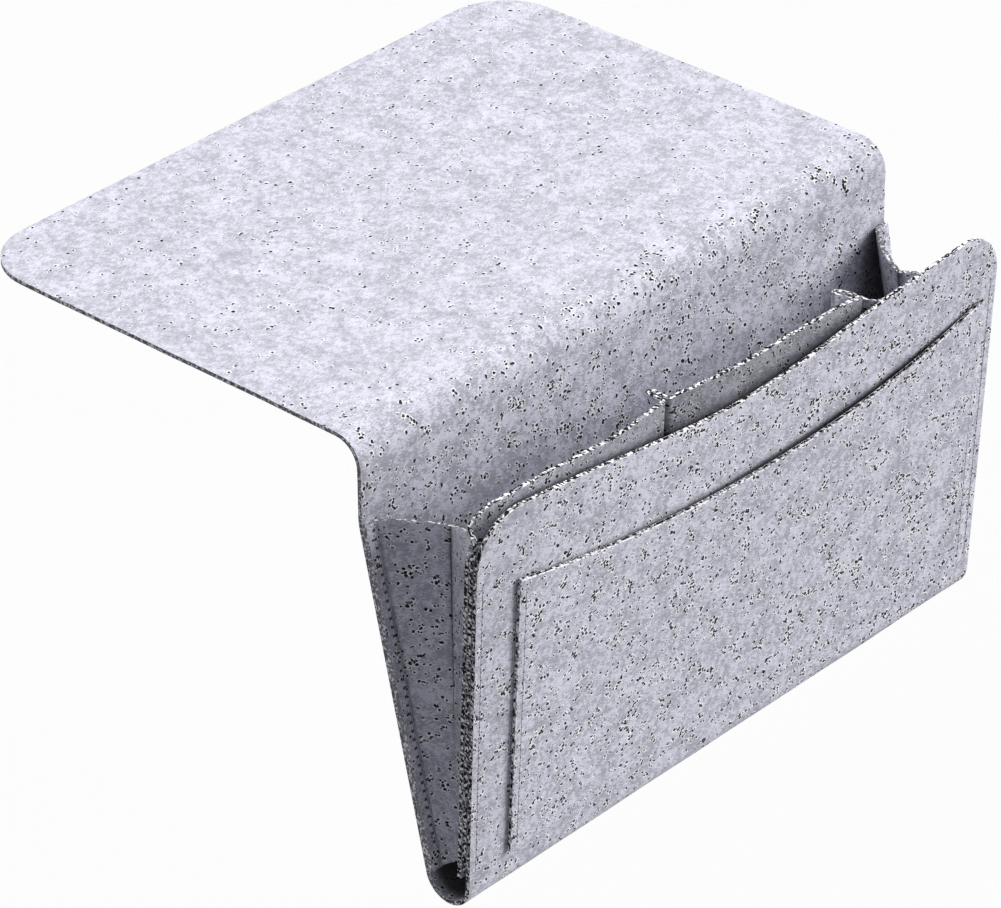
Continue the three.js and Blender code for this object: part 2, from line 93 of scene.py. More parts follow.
@dataclass(frozen=True)
class CaddySizes:
    """Sizes of the caddy in millimetres, the same as its solids have, with its folds as they lie."""

    width: float = 320.0
    bottom_narrowing: float = 3.4
    felt: float = 2.0
    layer_gap: float = 0.3
    sewn_gap: float = 0.04
    sewn_margin: float = 8.0
    seam_inset: float = 3.6
    flap_depth: float = 219.0
    flap_corner: float = 30.0
    shoulder_radius: float = 13.0
    total_height: float = 199.0
    lean_drop: float = 37.0
    lean_radius: float = 25.0
    back_lean: float = math.radians(11.6)
    bottom_radius: float = 11.8
    front_lean: float = math.radians(3.0)
    front_height: float = 185.7
    front_dip: float = 14.2
    front_corner: float = 22.0
    dip_near: float = 0.29
    dip_far: float = 0.58
    dip_far_rise: float = 0.7
    gusset_top: float = 162.0
    gusset_bottom: float = 15.5
    gusset_flange: float = 6.0
    gusset_droop: float = 4.5
    left_fold: float = 16.5
    left_crease: float = 0.48
    left_rise: float = 12.0
    right_fold: float = 23.0
    right_crease: float = 0.57
    least_fold: float = 2.5
    right_sag: float = 2.2
    inner_top: float = 180.3
    inner_bottom: float = 20.0
    inner_corner: float = 18.0
    inner_rise: float = 3.8
    rise_start: float = 45.0
    rise_reach: float = 90.0
    inner_flange: float = 8.5
    inner_ramp: float = 5.2
    free_flange: float = 2.5
    free_ramp: float = 3.0
    free_start: float = 168.5
    free_end: float = 176.0
    inner_standoff: float = 7.0
    hem_standoff: float = 1.2
    left_pleat: float = -35.0
    right_pleat: float = 76.0
    pleat_depth: float = 9.0
    pleat_loop: float = 0.8
    pleat_foot: float = 0.6
    pleat_pull: float = 4.0
    pull_reach: float = 22.0
    pull_step: float = 0.6
    right_drop: float = 9.0
    right_lead: float = 12.0
    right_ease: float = 28.0
    right_shift: float = 7.0
    right_lean: float = 8.0
    lean_reach: float = 25.0
    right_standoff: float = 6.0
    pocket_left: float = -137.0
    pocket_right: float = 150.5
    pocket_bottom: float = 20.2
    pocket_corner: float = 152.0
    pocket_dip: float = 15.4
    pocket_gape: float = 2.6

    @property
    def half(self) -> float:
        """Half of the caddy's width."""
        return self.width / 2

    @property
    def mount_y(self) -> float:
        """Distance of the origin behind the fold line of flap and back."""
        return (self.shoulder_radius + self.flap_depth) / 2

    @property
    def bottom_centre(self) -> tuple[float, float]:
        """Centre of the bottom bend.

        Returns:
            Its y and z from the fold line, in millimetres.
        """
        z = self.bottom_radius - self.total_height
        turn = (z + self.lean_drop) * math.sin(self.back_lean)
        return (self.felt - self.bottom_radius + turn) / math.cos(self.back_lean), z

    @property
    def front_foot(self) -> float:
        """Height of the front's lower end above the lowest line."""
        return self.bottom_radius * (1 - math.sin(self.front_lean))

    @property
    def inner_depth(self) -> float:
        """Depth of the inner sheet's sewn edge behind the front's front face."""
        return self.felt + self.layer_gap

    @property
    def flange_depth(self) -> float:
        """Depth of the gussets' front flange behind the front's front face."""
        return self.inner_depth + self.felt + self.layer_gap

    def half_at(self, height: np.ndarray) -> np.ndarray:
        """Half of the width in millimetres at heights above the lowest line."""
        share = np.clip(np.asarray(height, float) / self.gusset_top, 0, 1)
        return self.half - self.bottom_narrowing / 2 * (1 - share)

    def back_face_y(self, z: float) -> float:
        """Front face of the back at a z below the fold line.

        Args:
            z: Place below the fold line, in millimetres.

        Returns:
            The y of the face in millimetres.
        """
        start = self.lean_drop - self.lean_radius * math.tan(self.back_lean / 2)
        end = start + self.lean_radius * math.sin(self.back_lean)
        if -z <= start:
            return 0.0
        if -z >= end:
            return (z + self.lean_drop) * math.tan(self.back_lean)
        return math.sqrt(self.lean_radius**2 - (-z - start) ** 2) - self.lean_radius

    def up_front(self, height: np.ndarray) -> np.ndarray:
        """Distance up the front sheet, from its foot, of heights above the lowest line."""
        return (np.asarray(height, float) - self.front_foot) / math.cos(self.front_lean)

    def on_front(self, x: np.ndarray, height: np.ndarray, depth: np.ndarray) -> np.ndarray:
        """Points behind the front's front face.

        Args:
            x: Places across the caddy in millimetres.
            height: Heights above the lowest line in millimetres.
            depth: Depths behind the front's front face in millimetres.

        Returns:
            Points from the fold line in millimetres.
        """
        x, height, depth = np.broadcast_arrays(*(np.asarray(v, float) for v in (x, height, depth)))
        centre_y, centre_z = self.bottom_centre
        sin, cos = math.sin(self.front_lean), math.cos(self.front_lean)
        up = self.up_front(height)
        y = centre_y - self.bottom_radius * cos - up * sin + depth * cos
        z = centre_z - self.bottom_radius * sin + up * cos + depth * sin
        return np.stack([x, y, z], -1)

    def on_back(self, x: np.ndarray, height: np.ndarray, out: np.ndarray) -> np.ndarray:
        """Points off the leaning back's front face.

        Args:
            x: Places across the caddy in millimetres.
            height: Heights above the lowest line in millimetres.
            out: Distances in front of the face in millimetres, below zero behind it.

        Returns:
            Points from the fold line in millimetres.
        """
        x, height, out = np.broadcast_arrays(*(np.asarray(v, float) for v in (x, height, out)))
        sin, cos = math.sin(self.back_lean), math.cos(self.back_lean)
        up = (height - self.total_height + self.lean_drop) / cos
        return np.stack([x, up * sin - out * cos, -self.lean_drop + up * cos + out * sin], -1)

    def placed(self, points: np.ndarray) -> np.ndarray:
        """Turns points in millimetres from the fold line into metres from the caddy's origin."""
        return (np.asarray(points, float) + (0.0, -self.mount_y, self.felt)) * MM


SIZES = CaddySizes()


def smooth(value: np.ndarray, start: float, end: float) -> np.ndarray:
    """A soft step from 0 at the start to 1 at the end."""
    share = np.clip((np.asarray(value, float) - start) / (end - start), 0, 1)
    return share * share * (3 - 2 * share)


def corner_drop(place: np.ndarray, end: float, radius: float) -> np.ndarray:
    """How far a rounded corner of a radius falls away at places up to an end, in millimetres."""
    past = np.clip(np.abs(place) - (end - radius), 0, radius)
    return radius - np.sqrt(radius**2 - past**2)


def bezier(corners: list[tuple[float, float]], count: int) -> np.ndarray:
    """Points on a cubic curve.

    Args:
        corners: The curve's four corner points.
        count: Number of points.

    Returns:
        The points, in rows of two.
    """
    share = np.linspace(0, 1, count)[:, None]
    weights = ((1 - share) ** 3, 3 * share * (1 - share) ** 2, 3 * share**2 * (1 - share), share**3)
    return sum(weight * corner for weight, corner in zip(weights, np.array(corners, float)))


def uneven(across: np.ndarray, along: np.ndarray, height: float) -> np.ndarray:
    """The gentle unevenness of pressed felt, as a height over a flat pattern.

    Args:
        across: Places across the pattern in millimetres.
        along: Places along the pattern in millimetres.
        height: Largest height in millimetres.

    Returns:
        Heights in millimetres.
    """
    # Four crossing waves, each with its length in millimetres and its phase; the last one is weaker.
    last = 0.8
    waves = (
        np.sin(across / 17.0 + 1.3 * np.sin(along / 41.0))
        + np.sin(along / 13.0 + 1.1 * np.sin(across / 37.0) + 0.7)
        + np.sin((across + along) / 23.0 + 2.1)
        + last * np.sin((across - 1.7 * along) / 9.0)
    )
    return height * waves / (3 + last)


def deselect_all() -> None:
    """Leaves object mode with nothing selected."""
    if bpy.context.object and bpy.context.object.mode != "OBJECT":
        bpy.ops.object.mode_set(mode="OBJECT")
    bpy.ops.object.select_all(action="DESELECT")


def make_active(piece: bpy.types.Object) -> None:
    """Selects one piece alone and makes it the active one.

    Args:
        piece: The piece to work on.
    """
    deselect_all()
    piece.select_set(True)
    bpy.context.view_layer.objects.active = piece


def apply_modifier(piece: bpy.types.Object, kind: str, **settings: object) -> None:
    """Adds a modifier to a piece and applies it at once.

    Args:
        piece: The piece to change.
        kind: Blender's name for the modifier.
        **settings: Values for the modifier.
    """
    make_active(piece)
    modifier = piece.modifiers.new(kind.lower(), kind)
    for name, value in settings.items():
        setattr(modifier, name, value)
    bpy.ops.object.modifier_apply(modifier=modifier.name)


class NodeSketch:
    """A short way to write a material's nodes."""

    def __init__(self, name: str) -> None:
        """Starts a material.

        Args:
            name: The material's name.
        """
        self.material = bpy.data.materials.new(name)
        self.material.use_nodes = True
        self.tree = self.material.node_tree
        self.shader = self.tree.nodes["Principled BSDF"]

    def add(
        self, kind: str, inputs: dict[str | int, object] | None = None, **settings: object,
    ) -> bpy.types.Node:
        """Adds a node and fills its sockets.

        Args:
            kind: Blender's node type, without its ShaderNode prefix.
            inputs: Socket name or number to a value or to another node's output.
            **settings: The node's own settings.

        Returns:
            The new node.
        """
        node = self.tree.nodes.new("ShaderNode" + kind)
        for name, value in settings.items():
            setattr(node, name, value)
        for key, value in (inputs or {}).items():
            self.fill(node.inputs[key], value)
        return node

    def fill(self, socket: bpy.types.NodeSocket, value: object) -> None:
        """Links a socket to an output, or sets its value.

        Args:
            socket: The socket to fill.
            value: An output socket or a plain value.
        """
        if isinstance(value, bpy.types.NodeSocket):
            self.tree.links.new(value, socket)
        else:
            socket.default_value = value

    def sum(self, kind: str, first: object, second: object) -> bpy.types.NodeSocket:
        """The output of a Math node, such as MULTIPLY, of two values or outputs."""
        return self.add("Math", {0: first, 1: second}, operation=kind).outputs[0]

    def total(self, *parts: tuple[bpy.types.NodeSocket, float]) -> bpy.types.NodeSocket:
        """Adds up outputs, each times its weight.

        Args:
            *parts: Pairs of output and weight.

        Returns:
            The total's output.
        """
        total, *others = [self.sum("MULTIPLY", output, weight) for output, weight in parts]
        for other in others:
            total = self.sum("ADD", total, other)
        return total

    def spread(
        self, value: object, low: float, high: float, to_low: float = 0.0, to_high: float = 1.0,
    ) -> bpy.types.NodeSocket:
        """Maps a range softly onto another.

        Args:
            value: The output to map.
            low: Start of the range.
            high: End of the range.
            to_low: What the start becomes.
            to_high: What the end becomes.

        Returns:
            The mapped output.
        """
        node = self.add(
            "MapRange",
            {"Value": value, "From Min": low, "From Max": high, "To Min": to_low, "To Max": to_high},
            interpolation_type="SMOOTHSTEP",
        )
        return node.outputs["Result"]

    def noise(
        self, place: bpy.types.NodeSocket, feature: float, detail: float = 3.0, roughness: float = 0.55,
    ) -> bpy.types.NodeSocket:
        """A noise with features of a size in millimetres, about 0.5 in the middle."""
        inputs = {"Vector": place, "Scale": 1 / feature, "Detail": detail, "Roughness": roughness}
        return self.add("TexNoise", inputs).outputs["Fac"]

    def mix(self, share: object, first: object, second: object) -> bpy.types.NodeSocket:
        """Mixes two colours by the share of the second one."""
        return self.add("Mix", {0: share, 6: first, 7: second}, data_type="RGBA").outputs[2]

    def roughen(self, height: bpy.types.NodeSocket, strength: float, distance: float) -> None:
        """Lets a height stand out of the surface as bump, by a strength and a distance in metres."""
        bump = self.add("Bump", {"Height": height, "Strength": strength, "Distance": distance})
        self.fill(self.shader.inputs["Normal"], bump.outputs[0])

    def finish(self, colour: bpy.types.NodeSocket, values: dict[str, float]) -> bpy.types.Material:
        """Sets the shader's colour and its plain values.

        Args:
            colour: The colour's output.
            values: Names of the shader's sockets and their values.

        Returns:
            The finished material.
        """
        self.fill(self.shader.inputs["Base Color"], colour)
        for name, value in values.items():
            self.shader.inputs[name].default_value = value
        return self.material


@dataclass(frozen=True)
class FleckScatter:
    """One scatter of flecks over the felt.

    Attributes:
        turn: Direction of the fibres in radians.
        stretch: How much longer than wide the scatter is drawn.
        shift: Way that the scatter is moved, in millimetres.
        cell: Room for each fleck in millimetres.
        radius: A fleck's radius in millimetres.
        low: Where clusters begin.
        high: Where they are thickest.
        stray: Share of the cells outside the clusters that hold a fleck.
    """

    turn: float
    stretch: float
    shift: tuple[float, float]
    cell: float
    radius: float
    low: float
    high: float
    stray: float


class FeltGround:
    """The places on a felt sheet that its finishes read: flat, in millimetres, and gently bent."""

    wander_scale: float = 0.45
    wander_detail: float = 2.0
    wander_middle: tuple[float, float, float] = (0.5, 0.5, 0.5)
    wander_reach: float = 1.6
    broad_patch: float = 11.0
    broad_detail: float = 2.0
    broad_share: float = 0.55
    close_patch: float = 4.2
    close_detail: float = 1.0
    close_share: float = 0.45
    most_filled: float = 0.95
    least_size: float = 0.7
    most_size: float = 1.25
    fleck_rim: tuple[float, float] = (0.8, 1.1)
    ring_rim: tuple[float, float] = (1.1, 2.3)
    faint_below: float = 0.3
    faint: float = 0.6

    def __init__(self, sketch: NodeSketch) -> None:
        """Reads the sheet's flat pattern.

        Args:
            sketch: The material being written.
        """
        self.sketch = sketch
        flat = sketch.add("Attribute", attribute_name="felt_flat").outputs["Vector"]
        # How strongly the dark fibres show, lowered on the flap's top as painted top light.
        self.amount = sketch.add("Attribute", attribute_name="felt_specks").outputs["Fac"]
        # Painted shade stored on the sheet, from 0 to 1.
        self.shade = sketch.add("Attribute", attribute_name="felt_shade").outputs["Fac"]
        self.place = sketch.add("Mapping", {"Vector": flat, "Scale": (1 / MM, 1 / MM, 1 / MM)}).outputs[0]
        wander = sketch.add(
            "TexNoise", {"Vector": self.place, "Scale": self.wander_scale, "Detail": self.wander_detail},
        ).outputs["Color"]
        offset = sketch.add("VectorMath", {0: wander, 1: self.wander_middle}, operation="SUBTRACT").outputs[0]
        scaled = {0: offset, "Scale": self.wander_reach}
        reach = sketch.add("VectorMath", scaled, operation="SCALE").outputs[0]
        self.bent = sketch.add("VectorMath", {0: self.place, 1: reach}, operation="ADD").outputs[0]

    def turned(
        self, turn: float, stretch: float, shift: tuple[float, float] = (0.0, 0.0),
    ) -> bpy.types.NodeSocket:
        """Bent places, turned and drawn out along the fibres.

        Args:
            turn: Direction of the fibres in radians.
            stretch: How much longer than wide the pattern gets.
            shift: Way that the pattern is moved, in millimetres.

        Returns:
            The turned places.
        """
        wide = math.sqrt(stretch)
        inputs = {
            "Vector": self.bent,
            "Location": (*shift, 0.0),
            "Rotation": (0, 0, turn),
            "Scale": (1 / wide, wide, 1.0),
        }
        return self.sketch.add("Mapping", inputs).outputs[0]

    def clusters(self, place: bpy.types.NodeSocket, low: float, high: float) -> bpy.types.NodeSocket:
        """How thickly the flecks lie, in uneven clusters and short chains.

        Args:
            place: Place on the felt in millimetres.
            low: Where clusters begin.
            high: Where they are thickest.

        Returns:
            Shares from 0 to 1.
        """
        broad = self.sketch.noise(place, self.broad_patch, self.broad_detail)
        close = self.sketch.noise(place, self.close_patch, self.close_detail)
        patches = self.sketch.total((broad, self.broad_share), (close, self.close_share))
        return self.sketch.spread(patches, low, high)

    def flecks(self, scatter: FleckScatter) -> tuple[bpy.types.NodeSocket, bpy.types.NodeSocket]:
        """Short dark fibres seen as flecks, gathered in clusters, each in a ring of pale fibres.

        Args:
            scatter: How the flecks lie.

        Returns:
            How much of a fleck and of its pale ring shows, each from 0 to 1.
        """
        s = self.sketch
        place = self.turned(scatter.turn, scatter.stretch, scatter.shift)
        inputs = {"Vector": place, "Scale": 1 / scatter.cell, "Randomness": 1.0}
        cells = s.add("TexVoronoi", inputs, voronoi_dimensions="2D")
        chosen = s.add("SeparateColor", {0: cells.outputs["Color"]})
        sizes = [share * scatter.radius / scatter.cell for share in (self.least_size, self.most_size)]
        apart = s.sum("DIVIDE", cells.outputs["Distance"], s.spread(chosen.outputs[1], 0.0, 1.0, *sizes))
        dot = s.spread(apart, *self.fleck_rim, 1.0, 0.0)
        ring = s.spread(apart, *self.ring_rim, 1.0, 0.0)
        filled = self.clusters(cells.outputs["Position"], scatter.low, scatter.high)
        chance = s.sum("MAXIMUM", s.sum("MULTIPLY", filled, self.most_filled), scatter.stray)
        here = s.sum("LESS_THAN", chosen.outputs[0], s.sum("MULTIPLY", chance, self.amount))
        strength = s.spread(chosen.outputs[2], 0.0, self.faint_below, self.faint, 1.0)
        shown = s.sum("MULTIPLY", here, strength)
        return s.sum("MULTIPLY", dot, shown), s.sum("MULTIPLY", ring, shown)


@dataclass(frozen=True)
class FeltFinish:
    """Heathered pressed felt: pale fibres, soft clouds, and dark and white flecks in clusters."""

    pale: Colour = (0.66, 0.66, 0.74, 1.0)
    shade: Colour = (0.37, 0.37, 0.42, 1.0)
    dark: Colour = (0.006, 0.006, 0.008, 1.0)
    white: Colour = (0.95, 0.95, 0.97, 1.0)
    roughness: float = 0.95
    specular: float = 0.15
    sheen: float = 0.06
    sheen_roughness: float = 0.6
    cloud: float = 14.0
    cloud_detail: float = 4.0
    mottle: float = 3.0
    fibre: float = 0.9
    fibre_detail: float = 1.0
    fibre_turns: tuple[float, float] = (0.5, -0.9)
    fibre_stretch: float = 4.0
    tone_weights: tuple[float, float, float] = (0.36, 0.5, 0.35)
    tone_middle: float = 0.78
    contrast: tuple[float, float] = (2.9, 5.6)
    nap_weights: tuple[float, float, float, float] = (0.6, 0.5, 0.2, -0.3)
    nap_strength: float = 0.5
    nap_height: float = 0.0006
    scatters: tuple[FleckScatter, FleckScatter] = (
        FleckScatter(0.3, 1.1, (0.0, 0.0), 1.45, 0.66, 0.545, 0.62, 0.025),
        FleckScatter(1.2, 1.3, (7.3, 3.1), 1.6, 0.64, 0.55, 0.63, 0.035),
    )

    def make(self) -> bpy.types.Material:
        """Writes the material.

        Returns:
            The felt.
        """
        sketch = NodeSketch("heathered_felt")
        felt = FeltGround(sketch)
        clouds = sketch.noise(felt.place, self.cloud, self.cloud_detail)
        mottle = sketch.noise(felt.bent, self.mottle)
        fibres = sketch.sum("ADD", *(
            sketch.noise(felt.turned(turn, self.fibre_stretch), self.fibre, self.fibre_detail)
            for turn in self.fibre_turns
        ))
        tone = sketch.total(*zip((clouds, mottle, fibres), self.tone_weights))
        # Lower contrast where fewer flecks show makes the flap's top paler and evener: painted top light.
        contrast = sketch.spread(felt.amount, 0.0, 1.0, *self.contrast)
        paleness = sketch.sum("MULTIPLY", sketch.sum("SUBTRACT", tone, self.tone_middle), contrast)
        paleness = sketch.spread(sketch.sum("ADD", paleness, 0.5), 0.0, 1.0)

        (dark, white), (more_dark, more_white) = [felt.flecks(scatter) for scatter in self.scatters]
        dark, white = sketch.sum("MAXIMUM", dark, more_dark), sketch.sum("MAXIMUM", white, more_white)

        colour = sketch.mix(paleness, self.shade, self.pale)
        colour = sketch.mix(white, colour, self.white)
        # The dark colour serves both the dark flecks and the painted shade stored on the sheet.
        colour = sketch.mix(sketch.sum("MAXIMUM", dark, felt.shade), colour, self.dark)
        nap = sketch.total(*zip((fibres, mottle, white, dark), self.nap_weights))
        sketch.roughen(nap, self.nap_strength, self.nap_height)
        return sketch.finish(colour, {
            "Roughness": self.roughness,
            "Specular IOR Level": self.specular,
            "Sheen Weight": self.sheen,
            "Sheen Roughness": self.sheen_roughness,
        })


@dataclass(frozen=True)
class CutEdgeFinish:
    """Raw cut edge of the felt: painted deep shade between the fibre ends, darkest on edges in the stacked
    front seams, with pale ends standing out.
    """

    deep: Colour = (0.012, 0.012, 0.013, 1.0)
    grey: Colour = (0.34, 0.34, 0.36, 1.0)
    pale: Colour = (0.95, 0.95, 0.96, 1.0)
    roughness: float = 1.0
    specular: float = 0.1
    end_size: float = 1.6
    tuft_size: float = 1.4
    detail: float = 1.0
    finer: float = 0.4
    end_range: tuple[float, float] = (0.52, 0.58)
    tuft_range: tuple[float, float] = (0.545, 0.585)
    tuft_height: float = 0.7
    bump_strength: float = 0.9
    bump_height: float = 0.0008

    def make(self) -> bpy.types.Material:
        """Writes the material.

        Returns:
            The cut edge's finish.
        """
        sketch = NodeSketch("felt_cut_edge")
        felt = FeltGround(sketch)
        rawness_and_shade = sketch.add("Attribute", attribute_name="felt_raw").outputs["Fac"]
        ends = sketch.noise(felt.bent, self.end_size, self.detail, self.finer)
        tufts = sketch.noise(felt.place, self.tuft_size, self.detail, self.finer)
        # Painted shade: the base goes to near black where the sheet marks its cut edges as lying in shade.
        colour = sketch.mix(rawness_and_shade, self.grey, self.deep)
        colour = sketch.mix(sketch.spread(ends, *self.end_range), colour, self.grey)
        colour = sketch.mix(sketch.spread(tufts, *self.tuft_range), colour, self.pale)
        height = sketch.sum("ADD", ends, sketch.sum("MULTIPLY", tufts, self.tuft_height))
        sketch.roughen(height, self.bump_strength, self.bump_height)
        return sketch.finish(colour, {"Roughness": self.roughness, "Specular IOR Level": self.specular})


@dataclass(frozen=True)
class FuzzAndHighlightFinish:
    """Loose pale fibres along the rounded rim of a cut edge, with a painted highlight where the rim catches
    the light.
    """

    pale: Colour = (0.96, 0.96, 0.98, 1.0)
    shade: Colour = (0.25, 0.25, 0.27, 1.0)
    roughness: float = 1.0
    specular: float = 0.1
    wisp_size: float = 1.8
    detail: float = 1.0
    finer: float = 0.4
    wisp_range: tuple[float, float] = (0.42, 0.54)

    def make(self) -> bpy.types.Material:
        """Writes the material.

        Returns:
            The rim's finish.
        """
        sketch = NodeSketch("felt_rim_fuzz")
        wisps = sketch.noise(FeltGround(sketch).place, self.wisp_size, self.detail, self.finer)
        # The pale wisps are partly loose fibres and partly a painted highlight along the rim.
        colour = sketch.mix(sketch.spread(wisps, *self.wisp_range), self.shade, self.pale)
        return sketch.finish(colour, {"Roughness": self.roughness, "Specular IOR Level": self.specular})


@dataclass(frozen=True)
class ThreadFinish:
    """Twisted grey sewing thread."""

    pale: Colour = (0.72, 0.72, 0.80, 1.0)
    dark: Colour = (0.56, 0.56, 0.62, 1.0)
    roughness: float = 0.7
    twist: float = 0.7
    plies: tuple[float, float, float] = (6.0, 6.0, 1.0)
    ply_scale: float = 1.0
    ply_unevenness: float = 0.6
    ply_detail: float = 1.0
    bump_strength: float = 0.5
    bump_height: float = 0.0001

    def make(self) -> bpy.types.Material:
        """Writes the material.

        Returns:
            The thread.
        """
        sketch = NodeSketch("sewing_thread")
        along = sketch.add("UVMap", uv_map="UVMap").outputs[0]
        turned = {"Vector": along, "Rotation": (0, 0, self.twist), "Scale": self.plies}
        ply = sketch.add("TexWave", {
            "Vector": sketch.add("Mapping", turned).outputs[0],
            "Scale": self.ply_scale,
            "Distortion": self.ply_unevenness,
            "Detail": self.ply_detail,
        }).outputs["Fac"]
        sketch.roughen(ply, self.bump_strength, self.bump_height)
        return sketch.finish(sketch.mix(ply, self.dark, self.pale), {"Roughness": self.roughness})


@dataclass(frozen=True)
class NeedleHoleShadeFinish:
    """Painted shade of a needle hole, on a flat dark disc that lies on the felt."""

    deep: Colour = (0.02, 0.02, 0.024, 1.0)
    rim: Colour = (0.09, 0.09, 0.10, 1.0)
    roughness: float = 1.0
    spot_scale: float = 2500.0
    spot_detail: float = 2.0

    def make(self) -> bpy.types.Material:
        """Writes the material.

        Returns:
            The needle holes' finish.
        """
        sketch = NodeSketch("needle_hole_painted_shade")
        place = sketch.add("TexCoord").outputs["Object"]
        inputs = {"Vector": place, "Scale": self.spot_scale, "Detail": self.spot_detail}
        spots = sketch.add("TexNoise", inputs).outputs["Fac"]
        return sketch.finish(sketch.mix(spots, self.deep, self.rim), {"Roughness": self.roughness})


@dataclass(frozen=True)
class FloorFinish:
    """Pale studio floor."""

    tone: Colour = (0.697, 0.697, 0.685, 1.0)
    worn: Colour = (0.679, 0.679, 0.667, 1.0)
    roughness: float = 0.9
    cloud_scale: float = 1.5
    cloud_detail: float = 2.0

    def make(self) -> bpy.types.Material:
        """Writes the material.

        Returns:
            The floor's finish.
        """
        sketch = NodeSketch("pale_floor")
        place = sketch.add("TexCoord").outputs["Object"]
        inputs = {"Vector": place, "Scale": self.cloud_scale, "Detail": self.cloud_detail}
        clouds = sketch.add("TexNoise", inputs).outputs["Fac"]
        return sketch.finish(sketch.mix(clouds, self.worn, self.tone), {"Roughness": self.roughness})


@dataclass
class Workshop:
    """The finishes, made once and shared by all pieces."""

    felt: bpy.types.Material
    cut_edge: bpy.types.Material
    fuzz_and_highlight: bpy.types.Material
    thread: bpy.types.Material
    needle_hole_shade: bpy.types.Material
    floor: bpy.types.Material

    @classmethod
    def open(cls) -> "Workshop":
        """Makes all finishes.

        Returns:
            The workshop with its finishes.
        """
        return cls(
            FeltFinish().make(), CutEdgeFinish().make(), FuzzAndHighlightFinish().make(), ThreadFinish().make(),
            NeedleHoleShadeFinish().make(), FloorFinish().make(),
        )


